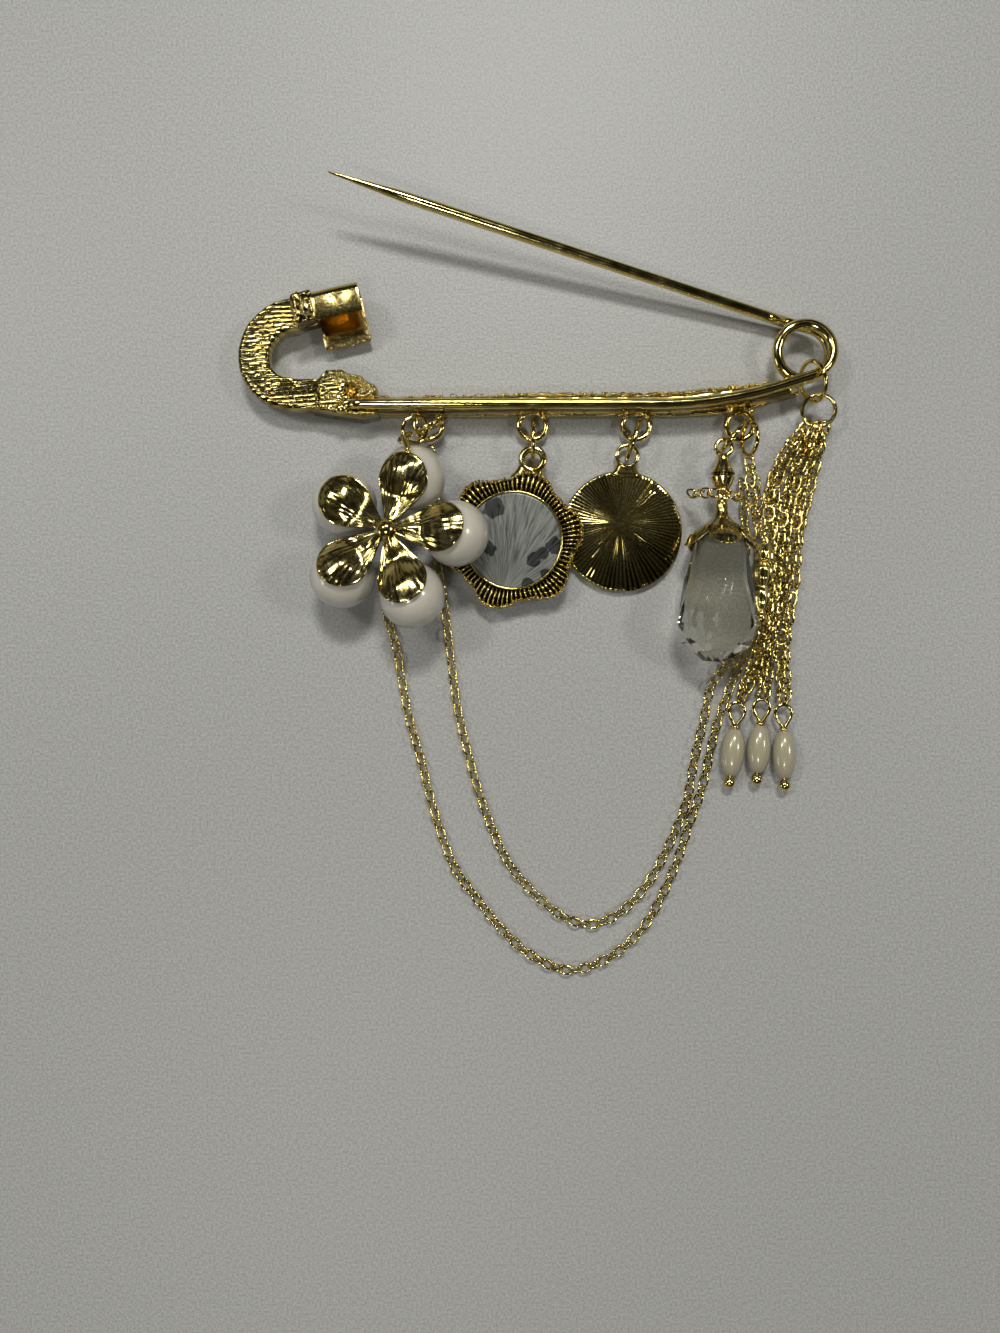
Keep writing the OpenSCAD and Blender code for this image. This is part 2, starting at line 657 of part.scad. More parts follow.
// The coil's ring stands round both turns: its two far points, each side of its middle
coil_ring_r = 2.45;
coil_ring_turn = -75;
function ring_far(side) = [
    coil_x + (coil_r + 0.6 + side * coil_ring_r) * cos(coil_ring_turn),
    coil_y + (coil_r + 0.6 + side * coil_ring_r) * sin(coil_ring_turn),
    wire_z - half_drop
];
module flower_ring_1() { color(GOLD) jump_ring(loop_hole(0, [0, 0.1, 0.3]), flower_link, [0.3, 0, 1], 1.8); }
module flower_ring_2() { color(GOLD) jump_ring(flower_link_2, flower_tab, link_up, link_r); }
module medallion_ring() { color(GOLD) jump_ring(loop_hole(1, [0, 0, -0.15]), medallion_hole, [0, 0, 1], 2.4); }
module disc_ring() { color(GOLD) jump_ring(loop_hole(2, [0, 0, -0.2]), disc_hole, [0, 0, 1], 2.4); }
module drop_ring() { color(GOLD) jump_ring(loop_hole(3, [-0.25, 0, -0.2]), drop_eye, [0, 0, 1], 2.4); }
module chain_ring() { color(GOLD) jump_ring(loop_hole(3, [0.6, 0.1, -0.2]), [31.1, 26.6, 1.7], [0.3, 0, 1], 2); }
module tassel_ring_1() { color(GOLD) jump_ring(ring_far(-1), ring_far(1), [0.33, 0.09, 0.94], coil_ring_r); }
module tassel_ring_2() { color(GOLD) jump_ring([39.4, 33.8, 3.3], [39.7, 30.2, 1.7], [1, 0, 0.3], 2); }

pin_frame();
coil_turn();
needle();
flower_back();
flower_pearl(1);  // flower_pearl_1
flower_pearl(2);  // flower_pearl_2
flower_pearl(3);  // flower_pearl_3
flower_pearl(4);  // flower_pearl_4
flower_pearl(5);  // flower_pearl_5
medallion_frame();
medallion_window();
disc_charm();
drop_cap();
crystal_drop();
lantern_charm();
flower_ring_1();
flower_ring_2();
medallion_ring();
disc_ring();
drop_ring();
chain_ring();
tassel_ring_1();
tassel_ring_2();
chain(outer_route);  // outer_swag_chain
chain(inner_route);  // inner_swag_chain
chain_tube(tassel_routes[0]);  // tassel_chain_1
chain_tube(tassel_routes[1]);  // tassel_chain_2
chain_tube(tassel_routes[2]);  // tassel_chain_3
chain_tube(lantern_route);  // lantern_chain
chain_tube(neck_route);  // neck_chain
eye_pin(1);  // eye_pin_1
eye_pin(2);  // eye_pin_2
eye_pin(3);  // eye_pin_3
rice_pearl(1);  // rice_pearl_1
rice_pearl(2);  // rice_pearl_2
rice_pearl(3);  // rice_pearl_3
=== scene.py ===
"""Looks of a safety pin brooch with charms and chains, which lies on its face with the needle open."""
import math

import bmesh
import bpy
import numpy as np
from mathutils import Matrix, Vector


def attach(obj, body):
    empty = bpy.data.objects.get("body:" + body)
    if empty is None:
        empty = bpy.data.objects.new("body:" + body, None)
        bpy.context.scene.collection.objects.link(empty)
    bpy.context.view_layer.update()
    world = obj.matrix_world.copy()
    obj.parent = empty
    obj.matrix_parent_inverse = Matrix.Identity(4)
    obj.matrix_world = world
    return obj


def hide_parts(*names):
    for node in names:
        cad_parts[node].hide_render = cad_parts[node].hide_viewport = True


bl_info = {
    "name": "Safety pin brooch",
    "version": (1, 0, 0),
    "blender": (4, 5, 0),
    "location": "3D View > Sidebar > Brooch",
    "description": "Builds the pin, its charms, chains and tassel over the packed solids",
    "category": "Add Mesh",
}

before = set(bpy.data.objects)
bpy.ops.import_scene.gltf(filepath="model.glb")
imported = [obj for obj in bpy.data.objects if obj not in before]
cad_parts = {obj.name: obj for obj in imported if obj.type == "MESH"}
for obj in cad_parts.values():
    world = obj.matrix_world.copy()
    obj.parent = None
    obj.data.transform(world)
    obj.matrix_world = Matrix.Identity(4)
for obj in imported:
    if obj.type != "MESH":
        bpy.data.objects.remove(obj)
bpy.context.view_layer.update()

MM = 0.001
TAU = 2 * math.pi
X = np.array([1.0, 0, 0])
Y = np.array([0, 1.0, 0])
Z = np.array([0, 0, 1.0])

# The brooch's own middle, as seen from the middle of the photographed view, mm
VIEW_SHIFT = np.array([4.55, 10.2865, 0.0])

# Pin wire, mm
WIRE_LEFT = -18.8
WIRE_LINE = 32.5
WIRE_HEIGHT = 4.15
COIL_MIDDLE = np.array([37.9, 39.25, 0.0])
COIL_SLOPE = 17.5
HALF_DROP = 0.75
STUB = 3.2
BAR_LEFT = -20.8
BAR_TIP = 37.6
FLANGE_LOW = 31.6
FLANGE_TOP = 34.0
LOOP_LINE = 30.4
LOOP_FIRST = -9.0
LOOP_PITCH = 13.1
LOOP_HEIGHT = 1.2
# Middle line of the round head's band, from the hood's collar to the stepped end
HEAD_LINE = [
    (-24.5, 43.9, 0), (-26.4, 43.8, 0), (-28.3, 42.9, 0), (-29.9, 41.2, 0), (-30.65, 38.8, 0),
    (-30.2, 36.5, 0), (-28.6, 34.7, 0), (-26.1, 33.95, 0), (-23.5, 33.85, 0), (-20.8, 33.85, 0),
]
HOOD_CORNER = np.array([-22.4, 42.1, 0.0])
HOOD_TURN = 13.0

# Charms, mm
FLOWER_MIDDLE = np.array([-13.0, 15.8, 5.95])
FLOWER_TURN = 73.0
FLOWER_LEAN = (1.0, 1.0, 0.0)
MEDALLION_MIDDLE = np.array([1.7, 15.8, 1.941])
MEDALLION_TILT = 4.0
DISC_MIDDLE = np.array([15.4, 17.1, 0.0])
DROP_EYE = np.array([27.7, 27.1, 4.0])
DROP_TURN = -92.6
DROP_DIP = 2.3
LANTERN_TOP = np.array([32.9, 15.3, 3.5])
LANTERN_FOOT = np.array([32.4, 5.4, 3.4])

# Spots in the medallion's window where glue is missing: place and size in parts of the window's radius
CLEAR_SPOTS = [
    (-0.39, 0.66, 0.2), (-0.5, -0.15, 0.14), (0.43, -0.4, 0.14), (0.62, -0.28, 0.13), (0.86, -0.12, 0.18),
    (0.67, -0.7, 0.1), (0.3, -0.9, 0.12),
]
# Bright raised lines on the disc: angle, and where each starts and ends in parts of the way to the rim
DISC_LINES = [
    (0.72, 0.45, 0.85), (0.8, 0.2, 0.8), (0.91, 0.5, 0.95), (2.91, 0.25, 0.75), (3.93, 0.05, 0.45),
    (4.03, 0.5, 0.7), (4.15, 0.8, 0.97), (4.22, 0.8, 0.97), (6.05, 0.05, 0.4),
]

# Fine chains that the solids show as tubes: points along each, mm
STRANDS = {
    "tassel_chain_1": [
        (38.9, 30.6, 1.7), (36.2, 27.0, 1.0), (35.0, 24.6, 0.8), (34.4, 22.3, 0.8), (34.3, 18.5, 1.0),
        (34.3, 13.4, 2.0), (34.1, 9.0, 2.05), (33.2, 4.2, 2.05), (32.2, 1.0, 2.05), (31.2, -1.6, 1.5),
        (30.05, -4.4, 1.5),
    ],
    "tassel_chain_2": [
        (40.0, 30.5, 1.8), (37.4, 24.8, 0.9), (36.0, 18.6, 0.8), (35.2, 11.6, 0.8), (34.1, 5.5, 0.8),
        (33.8, 1.3, 0.8), (33.4, -1.5, 1.1), (33.05, -4.0, 1.5),
    ],
    "tassel_chain_3": [
        (41.0, 30.6, 1.7), (39.3, 24.8, 0.8), (37.8, 18.6, 0.8), (37.0, 12.0, 0.8), (36.1, 6.1, 0.8),
        (35.8, 2.1, 0.8), (35.7, -1.8, 1.1), (35.7, -4.8, 1.5),
    ],
    "lantern_chain": [(31.05, 26.2, 2.9), (31.2, 22.5, 3.3), (31.6, 19.5, 3.5), (32.4, 16.5, 3.5)],
    "neck_chain": [
        (23.6, 21.6, 2.6), (24.6, 21.4, 4.3), (25.8, 21.2, 5.8), (27.4, 21.0, 6.4), (28.9, 20.8, 5.7),
        (30.0, 20.5, 4.2),
    ],
}
# Rice pearls: middle across, middle along, turn in degrees
RICE_PEARLS = [(29.3, -10.8, -6.0), (32.6, -10.4, -4.0), (35.8, -11.1, 1.0)]


def linear(hex_colour):
    """Linear RGBA of an sRGB hex colour."""
    channels = [int(hex_colour[i:i + 2], 16) / 255 for i in (1, 3, 5)]
    return [c / 12.92 if c <= 0.04045 else ((c + 0.055) / 1.055) ** 2.4 for c in channels] + [1.0]


def unit(v):
    v = np.asarray(v, float)
    return v / np.linalg.norm(v)


def turned(points, axis, degrees):
    """Points turned about an axis through the origin."""
    spin = np.array(Matrix.Rotation(math.radians(degrees), 3, Vector(axis)))
    return np.asarray(points, float) @ spin.T


# Meshes


def make_piece(name, points, faces, material, node=None, slot=None, body="frame", smooth=True, painted_shades=None):
    """A piece from points in the photographed view, mm, on a body. It replaces a node if one is given; its
    slot is not used.
    """
    mesh = bpy.data.meshes.new(name)
    places = (np.asarray(points, float) - VIEW_SHIFT) * MM
    mesh.from_pydata(places.tolist(), [], [tuple(int(i) for i in f) for f in faces])
    mesh.validate()
    cleaned = bmesh.new()
    cleaned.from_mesh(mesh)
    if painted_shades is None:
        bmesh.ops.remove_doubles(cleaned, verts=cleaned.verts, dist=1e-7)
    bmesh.ops.recalc_face_normals(cleaned, faces=cleaned.faces)
    cleaned.to_mesh(mesh)
    cleaned.free()
    # Each point's amount of painted shade, which darkens the gold materials and turns them amber
    if painted_shades is not None:
        layer = mesh.attributes.new("painted_shade", "FLOAT", "POINT")
        layer.data.foreach_set("value", np.asarray(painted_shades, np.float32))
    mesh.polygons.foreach_set("use_smooth", [smooth] * len(mesh.polygons))
    mesh.materials.append(material)
    piece = bpy.data.objects.new(name, mesh)
    bpy.context.scene.collection.objects.link(piece)
    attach(piece, body)
    if node:
        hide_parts(node)
    return piece


class Shape:
    """Points and faces gathered from several simple forms."""

    def __init__(self):
        self.points = []
        self.faces = []
        self.painted_shades = []

    def add(self, points, faces, painted_shades=None):
        start = len(self.points)
        self.points.extend(np.asarray(points, float).tolist())
        self.faces.extend([tuple(i + start for i in f) for f in faces])
        self.painted_shades.extend([0.0] * len(points) if painted_shades is None else list(painted_shades))
        return self

    def put(self, form, move, painted_shades=None):
        """Adds a form's points and faces, with its points moved by a function."""
        return self.add(move(form[0]), form[1], painted_shades)

    def piece(self, name, material, **rest):
        painted_shades = self.painted_shades if any(self.painted_shades) else None
        return make_piece(name, self.points, self.faces, material, painted_shades=painted_shades, **rest)


def grid_faces(rows, columns, closed_rows=False, closed_columns=False):
    """Four-sided faces of a grid of points stored row by row."""
    faces = []
    for i in range(rows if closed_rows else rows - 1):
        for j in range(columns if closed_columns else columns - 1):
            a, b = i * columns, ((i + 1) % rows) * columns
            k = (j + 1) % columns
            faces.append((a + j, a + k, b + k, b + j))
    return faces


def capped_grid(rows, columns):
    """Faces of a tube of points stored ring by ring, with its two ends."""
    last = (rows - 1) * columns
    return grid_faces(rows, columns, False, True) + [
        tuple(range(columns)), tuple(last + k for k in reversed(range(columns)))]


def grid_rim(rows, columns):
    """Corners round the outside of a grid, in order."""
    last = rows - 1
    return (list(range(columns)) + [i * columns + columns - 1 for i in range(1, rows)]
            + [last * columns + k for k in reversed(range(columns - 1))]
            + [i * columns for i in reversed(range(1, last))])


def band(first, second):
    """Faces between two closed rows of corners."""
    return [(a, b, d, c) for a, b, c, d in zip(first, first[1:] + first[:1], second, second[1:] + second[:1])]


def doubled(faces, count):
    """Faces of a sheet and of its other side, whose corners come count later."""
    return faces + [tuple(reversed([k + count for k in f])) for f in faces]


def all_round(count):
    """Angles evenly spaced round a circle."""
    return np.arange(count) * TAU / count


def polar(r, a, z):
    return r * math.cos(a), r * math.sin(a), z


def hump(off, width):
    """1 at the middle of a soft hump, which dies away over its width."""
    return math.exp(-(off / width) ** 2)


def circle(turns):
    """Points of a circle of radius 1 round +Z."""
    return np.stack([np.cos(turns), np.sin(turns), 0 * turns], 1)


def frames_along(path, closed=False):
    """Two directions square to each point of a path, which don't spin along it."""
    path = np.asarray(path, float)
    count = len(path)
    ahead = np.roll(path, -1, 0) - np.roll(path, 1, 0)
    if not closed:
        ahead[0], ahead[-1] = path[1] - path[0], path[-1] - path[-2]
    ahead /= np.linalg.norm(ahead, axis=1)[:, None]
    first = np.cross(ahead[0], Z if abs(ahead[0][2]) < 0.9 else X)
    sides = [unit(first)]
    for i in range(1, count):
        side = sides[-1] - ahead[i] * np.dot(sides[-1], ahead[i])
        sides.append(unit(side))
    sides = np.array(sides)
    return sides, np.cross(ahead, sides)


def tube(path, radius, sides=12, closed=False):
    """A round tube along a path, with flat ends where it is open. The radius can change along it."""
    path = np.asarray(path, float)
    count = len(path)
    radii = np.broadcast_to(np.asarray(radius, float), (count,))
    across, up = frames_along(path, closed)
    turn = all_round(sides)
    ring = np.cos(turn)[None, :, None] * across[:, None] + np.sin(turn)[None, :, None] * up[:, None]
    points = (path[:, None] + radii[:, None, None] * ring).reshape(-1, 3)
    return points, grid_faces(count, sides, True, True) if closed else capped_grid(count, sides)


def curve_through(points, steps=8):
    """Smooth curve through chosen points."""
    p = np.asarray(points, float)
    p = np.vstack([2 * p[0] - p[1], p, 2 * p[-1] - p[-2]])
    out = []
    for i in range(1, len(p) - 2):
        for t in np.arange(steps) / steps:
            out.append(0.5 * (
                2 * p[i] + (p[i + 1] - p[i - 1]) * t
                + (2 * p[i - 1] - 5 * p[i] + 4 * p[i + 1] - p[i + 2]) * t * t
                + (3 * p[i] - p[i - 1] - 3 * p[i + 1] + p[i + 2]) * t ** 3
            ))
    out.append(p[-2])
    return np.array(out)


def spaced(path, pitch):
    """Points a fixed distance apart along a path."""
    path = np.asarray(path, float)
    run = np.concatenate([[0], np.cumsum(np.linalg.norm(np.diff(path, axis=0), axis=1))])
    stops = np.arange(0, run[-1], pitch)
    return np.stack([np.interp(stops, run, path[:, k]) for k in range(3)], 1)


def lathe(profile, around=48, shape=None):
    """Surface turned about +Z from (radius, height) rows. shape(row, angle) scales the radius."""
    profile = np.asarray(profile, float)
    turn = all_round(around)
    points = []
    for k, (radius, height) in enumerate(profile):
        for a in turn:
            r = radius * (shape(k / (len(profile) - 1), a) if shape else 1)
            points.append(polar(r, a, height))
    return np.array(points), capped_grid(len(profile), around)


def aimed(points, at, way, up=Z):
    """Points drawn along +Z, set at a place and pointed along a way."""
    way = unit(way)
    side = np.cross(up, way)
    side = unit(side if np.linalg.norm(side) > 1e-6 else X)
    return np.asarray(at, float) + np.asarray(points, float) @ np.array([side, np.cross(way, side), way])


def dense_block(size, at, bevel, step=0.16):
    """A rounded block with enough points to be made rough."""
    half = np.asarray(size, float) / 2
    shape, known, points = [], {}, []

    def corner(p):
        inner = np.clip(p, bevel - half, half - bevel)
        out = p - inner
        p = inner + bevel * unit(out) if np.linalg.norm(out) > 1e-9 else p
        key = tuple(np.round(p, 5))
        if key not in known:
            known[key] = len(points)
            points.append(p + half + np.asarray(at, float))
        return known[key]

    for axis in range(3):
        u, v = (axis + 1) % 3, (axis + 2) % 3
        us = np.linspace(-half[u], half[u], max(3, int(size[u] / step)))
        vs = np.linspace(-half[v], half[v], max(3, int(size[v] / step)))
        for side in (-1, 1):
            grid = []
            for a in us:
                for b in vs:
                    p = np.zeros(3)
                    p[axis], p[u], p[v] = side * half[axis], a, b
                    grid.append(corner(p))
            for f in grid_faces(len(us), len(vs)):
                shape.append(tuple(grid[k] for k in (f if side > 0 else reversed(f))))
    return np.array(points), shape


def relief(xs, edges, top, rows, base):
    """A block between two edges that change along X, with an uneven top and a flat underside."""
    points = []
    for x in xs:
        low, high = edges(x)
        for y in np.linspace(low, high, rows):
            points.append((x, y, top(x, y)))
    rim = grid_rim(len(xs), rows)
    count = len(points)
    for height in (base, 0.03):
        points += [(points[k][0], points[k][1], height) for k in rim]
    skirt, foot = [[count + step * len(rim) + k for k in range(len(rim))] for step in (0, 1)]
    faces = grid_faces(len(xs), rows) + band(rim, skirt) + band(skirt, foot) + [tuple(foot)]
    return np.array(points), faces


def ball(at, radius, stretch=(1, 1, 1), around=20):
    """A round blob."""
    rows = around // 2 + 1
    lean = np.linspace(0.03, math.pi - 0.03, rows)
    points, faces = lathe(np.stack([np.sin(lean), np.cos(lean)], 1) * radius, around)
    return points * np.asarray(stretch) + np.asarray(at, float), faces


def rough(points, amount, size, seed):
    """Points pushed about by smooth noise, as on a cast or soldered skin."""
    dice = np.random.default_rng(seed)
    waves = dice.normal(size=(14, 3)) / size * 1.6
    shifts = dice.uniform(0, TAU, (14, 3))
    points = np.asarray(points)
    phases = points @ waves.T
    return points + amount * np.stack([np.sin(phases + shifts[:, k]).mean(1) for k in range(3)], 1) * 2.2


# Materials


def add_node(tree, kind, inputs=None, **settings):
    """Adds a node, with its settings, and its inputs as values or as sockets to link."""
    made = tree.nodes.new(kind)
    for key, value in settings.items():
        setattr(made, key, value)
    for key, value in (inputs or {}).items():
        if isinstance(value, bpy.types.NodeSocket):
            tree.links.new(value, made.inputs[key])
        else:
            made.inputs[key].default_value = value
    return made


def new_material(name, **shader):
    """A material with one Principled shader and its plain values."""
    made = bpy.data.materials.new(name)
    made.use_nodes = True
    surface = made.node_tree.nodes["Principled BSDF"]
    for key, value in shader.items():
        surface.inputs[key.replace("_", " ")].default_value = value
    return made, made.node_tree, surface


def object_place(tree):
    return add_node(tree, "ShaderNodeTexCoord").outputs["Object"]


def noise(tree, place, size, detail):
    """Noise with marks of about this size, mm."""
    made = add_node(tree, "ShaderNodeTexNoise", {"Vector": place, "Scale": 1 / (size * MM), "Detail": detail})
    return made.outputs["Fac"]


def spread(tree, value, low, high, start=0.0, end=1.0):
    """Runs a value from one range, start to end, into another."""
    made = add_node(tree, "ShaderNodeMapRange", {
        "Value": value, "From Min": start, "From Max": end, "To Min": low, "To Max": high})
    return made.outputs["Result"]


def maths(tree, operation, *inputs, kind="Math", output="Value"):
    """What a math node makes of values and sockets."""
    node = add_node(tree, "ShaderNode" + kind, dict(enumerate(inputs)), operation=operation)
    return node.outputs[output]


def blended(tree, factor, first, second):
    """A colour between two colours."""
    return add_node(tree, "ShaderNodeMix", {0: factor, 6: first, 7: second}, data_type="RGBA").outputs[2]


def dress(tree, surface, colour, shine, height, strength, depth):
    """Links a surface's colour, its roughness if that varies, and its fine relief, depth in mm."""
    bump = add_node(tree, "ShaderNodeBump", {"Height": height, "Strength": strength, "Distance": depth * MM})
    for socket, source in (("Base Color", colour), ("Roughness", shine), ("Normal", bump.outputs["Normal"])):
        if source is not None:
            tree.links.new(source, surface.inputs[socket])


def ramp(tree, factor, stops):
    made = add_node(tree, "ShaderNodeValToRGB", {"Fac": factor})
    ends = made.color_ramp.elements
    while len(ends) < len(stops):
        ends.new(0.5)
    for end, (place, colour) in zip(ends, stops):
        end.position = place
        end.color = linear(colour) if isinstance(colour, str) else (colour, colour, colour, 1)
    return made.outputs["Color"]


def gold_casting(look, name="gold_plated_zinc_casting", skin=0.35, shine=(0.08, 0.2)):
    """Zinc casting, flash plated in pale gold: bright, with a fine skin, and painted shade that darkens the
    furrows and turns the deep hollows amber.
    """
    made, tree, surface = new_material(name, Metallic=1.0)
    place = object_place(tree)
    plated = ramp(tree, noise(tree, place, 3.5, 3.0), [(0.35, look.gold_deep), (0.65, look.gold_pale)])
    # The painted shade value darkens the plating up to a half, and from there turns it amber, as painted
    # shade for deep hollows
    painted_shade = add_node(tree, "ShaderNodeAttribute", attribute_name="painted_shade").outputs["Fac"]
    darkened_by_shade = blended(tree, spread(tree, painted_shade, 0.0, 1.0, 0.0, 0.5), plated, linear(look.groove_shade_colour))
    mixed = blended(tree, spread(tree, painted_shade, 0.0, 1.0, 0.5, 1.0), darkened_by_shade, linear(look.amber))
    grain = noise(tree, place, 0.22, 4.0)
    dress(tree, surface, mixed, spread(tree, grain, shine[0], shine[1], 0.3, 0.7), grain, skin, 0.03)
    return made


def polished_wire(look, name="gold_plated_spring_wire"):
    """Drawn steel wire, plated and polished: smooth, with faint lengthwise unevenness."""
    made, tree, surface = new_material(name, Metallic=1.0)
    cloud = noise(tree, object_place(tree), 2, 4.0)
    plated = ramp(tree, cloud, [(0.3, look.gold_deep), (0.7, look.gold_pale)])
    dress(tree, surface, plated, spread(tree, cloud, 0.06, 0.16, 0.3, 0.7), cloud, 0.12, 0.1)
    return made


def pearl_coat(look, name, colour):
    """ABS bead under pearl lacquer: soft deep sheen with a sharp clear coat over it."""
    made, tree, surface = new_material(
        name, Roughness=0.3, Coat_Weight=1.0, Coat_Roughness=0.1, Subsurface_Weight=0.1,
        Subsurface_Scale=1.2 * MM, IOR=1.55, Thin_Film_Thickness=380.0, Thin_Film_IOR=1.5,
        Specular_IOR_Level=0.6)
    cloud = noise(tree, object_place(tree), 2.5, 2.0)
    # Painted shade: the colour darkens towards the bead's outline, where its surface turns away from the view
    facing = add_node(tree, "ShaderNodeLayerWeight", {"Blend": 0.4}).outputs["Facing"]
    shaded_towards_rim = ramp(tree, facing, [(0.0, colour), (0.75, look.pearl_edge_shade), (1.0, look.pearl_rim_shade)])
    dress(tree, surface, blended(tree, cloud, shaded_towards_rim, linear(colour)), None, cloud, 0.05, 0.1)
    return made


def clear_acrylic():
    """Moulded and polished acrylic: clear, with a very slight haze."""
    made, tree, surface = new_material(
        "clear_faceted_acrylic", Transmission_Weight=1.0, IOR=1.49, Base_Color=linear("#E6E4DA"))
    haze = noise(tree, object_place(tree), 1.5, 3.0)
    tree.links.new(spread(tree, haze, 0.0, 0.05, 0.35, 0.7), surface.inputs["Roughness"])
    return made


def glued_resin(look, window_r):
    """Clear resin whose back is brushed with grey glue: strokes that fan from its foot, and clear spots,
    painted near black for the shade seen through them.
    """
    made, tree, surface = new_material("clear_resin_with_glue", IOR=1.5, Coat_Weight=0.5, Coat_Roughness=0.1)
    place = object_place(tree)
    middle = (MEDALLION_MIDDLE - VIEW_SHIFT) * MM
    at = (middle[0] - 1.5 * MM, middle[1] - 7 * MM, 0)
    foot = maths(tree, "SUBTRACT", place, at, kind="VectorMath", output="Vector")
    parts = add_node(tree, "ShaderNodeSeparateXYZ", {0: foot})
    angle = maths(tree, "ARCTAN2", parts.outputs["X"], parts.outputs["Y"])
    reach = maths(tree, "LENGTH", foot, kind="VectorMath")
    fan = add_node(tree, "ShaderNodeCombineXYZ", {"X": angle, "Y": reach})
    scaled = add_node(tree, "ShaderNodeMapping", {"Vector": fan.outputs[0], "Scale": (16, 1 / (5 * MM), 1)})
    streak = add_node(tree, "ShaderNodeTexNoise", {
        "Vector": scaled.outputs[0], "Scale": 2.0, "Detail": 4.0, "Distortion": 0.5}).outputs["Fac"]
    nearest = None
    for x, y, size in CLEAR_SPOTS:
        at = (turned([x * window_r, y * window_r, 0.9], Y, -MEDALLION_TILT) * MM + middle).tolist()
        far = maths(tree, "DISTANCE", place, at, kind="VectorMath")
        far = maths(tree, "DIVIDE", far, size * window_r * MM)
        nearest = far if nearest is None else maths(tree, "MINIMUM", nearest, far)
    # Noise makes the spots' edges ragged
    reach = maths(tree, "MULTIPLY_ADD", noise(tree, place, 1.4, 1.0), 1.6, nearest)
    glue = ramp(tree, streak, [(0.3, look.glue_dull), (0.65, look.glue_white)])
    # The clear spots are painted near black for the shade seen through them
    mixed = blended(tree, spread(tree, reach, 0.0, 1.0, 1.8, 1.88), linear(look.clear_spot_shade), glue)
    dress(tree, surface, mixed, ramp(tree, streak, [(0.35, 0.2), (0.7, 0.5)]), streak, 0.35, 0.1)
    return made


def pale_laminate(look):
    """Pale grey laminated worktop: fine embossed grain under a satin finish."""
    made, tree, surface = new_material("pale_grey_laminate", IOR=1.5)
    speck = noise(tree, object_place(tree), 0.3, 3.0)
    grain = ramp(tree, speck, [(0.36, look.floor_dark), (0.64, look.floor_pale)])
    dress(tree, surface, grain, spread(tree, speck, 0.36, 0.5), speck, 0.4, 0.12)
    return made


# Shapes of the pin


def coil_points(start, height, first, last, steps=64):
    """Points along one part turn of the coil, which drops as it goes round."""
    sizes = bpy.context.scene.brooch_pin
    radius = sizes.coil_d / 2 - sizes.wire_d / 2
    tilt = math.degrees(math.atan(HALF_DROP / 2 / radius))
    turn = np.radians(np.linspace(first, last, steps))
    flat = radius / math.cos(math.radians(tilt)) * circle(turn)
    return turned(turned(flat, Y, -tilt), Z, start) + COIL_MIDDLE + height * Z


def pin_places():
    """Where the back wire bends and meets the coil, and where the needle starts and points."""
    sizes = bpy.context.scene.brooch_pin
    radius = sizes.coil_d / 2 - sizes.wire_d / 2
    meet = COIL_SLOPE - 90
    meet_at = COIL_MIDDLE + turned([radius, 0, 0], Z, meet) + WIRE_HEIGHT * Z
    bend_x = meet_at[0] - (meet_at[1] - WIRE_LINE) / math.tan(math.radians(COIL_SLOPE))
    last_turn = 90 - sizes.open_angle - meet
    last_height = WIRE_HEIGHT - 2.5 * HALF_DROP
    turns = coil_points(meet, last_height, last_turn - 0.01, last_turn, 2)
    pivot = turns[1] + unit(turns[1] - turns[0]) * STUB
    way = math.radians(180 - sizes.open_angle)
    rise = math.radians(sizes.rise_angle)
    needle_way = np.array([math.cos(rise) * math.cos(way), math.cos(rise) * math.sin(way), math.sin(rise)])
    return meet, meet_at, bend_x, last_turn, last_height, pivot, needle_way


class BROOCH_OT_pin_wire(bpy.types.Operator):
    """Back wire, spring coil and needle, all of one drawn wire"""

    bl_idname = "brooch.pin_wire"
    bl_label = "Pin wire"

    def execute(self, context):
        sizes, look = context.scene.brooch_pin, context.scene.brooch_look
        wire = polished_wire(look)
        wire_r = sizes.wire_d / 2
        meet, meet_at, bend_x, last_turn, last_height, pivot, needle_way = pin_places()
        start = np.array([WIRE_LEFT, WIRE_LINE, WIRE_HEIGHT])
        bend = np.array([bend_x, WIRE_LINE, WIRE_HEIGHT])
        # The wire leaves the bar's line in a long easy curve
        soft = 8.0
        straight = np.linspace(start, bend - soft * X, 24)
        slope = unit(meet_at - bend)
        curve = [bend + soft * (t * t * slope - (1 - t) ** 2 * X) for t in np.linspace(0.05, 0.95, 19)]
        rise = np.linspace(bend + soft * slope, meet_at, 8)[:-1]
        back = np.vstack([
            straight, curve, rise, coil_points(meet, WIRE_HEIGHT - HALF_DROP / 2, 0, 180),
            coil_points(meet + 180, WIRE_HEIGHT - 1.5 * HALF_DROP, 0, 180)[1:],
        ])
        Shape().add(*tube(back, wire_r, 28)).piece("back_wire_and_coil", wire, node="pin_frame")
        # The last turn starts inside the one above, so that no gap opens as the needle swings
        last = coil_points(meet, last_height, -20, last_turn)
        stub = np.linspace(last[-1], pivot, 10)[1:]
        inner_r = wire_r * 0.985
        shape = Shape().add(*tube(np.vstack([last, stub]), inner_r, 28)).add(*ball(pivot, inner_r, around=28))
        shape.piece("last_coil_turn", wire, node="coil_turn", body="coil")
        along = np.concatenate([
            np.linspace(0, sizes.needle_l - sizes.point_l, 20),
            sizes.needle_l - sizes.point_l * (1 - np.linspace(0.02, 1, 26)),
        ])
        ground = np.clip((sizes.needle_l - along) / sizes.point_l, 0, 1)
        radii = 0.1 + (wire_r - 0.1) * ground ** 0.85
        shape = Shape().add(*tube(pivot + along[:, None] * needle_way, radii, 28))
        shape.add(*ball(pivot, wire_r, around=28)).piece("needle_wire", wire, node="needle", body="needle")
        return {"FINISHED"}


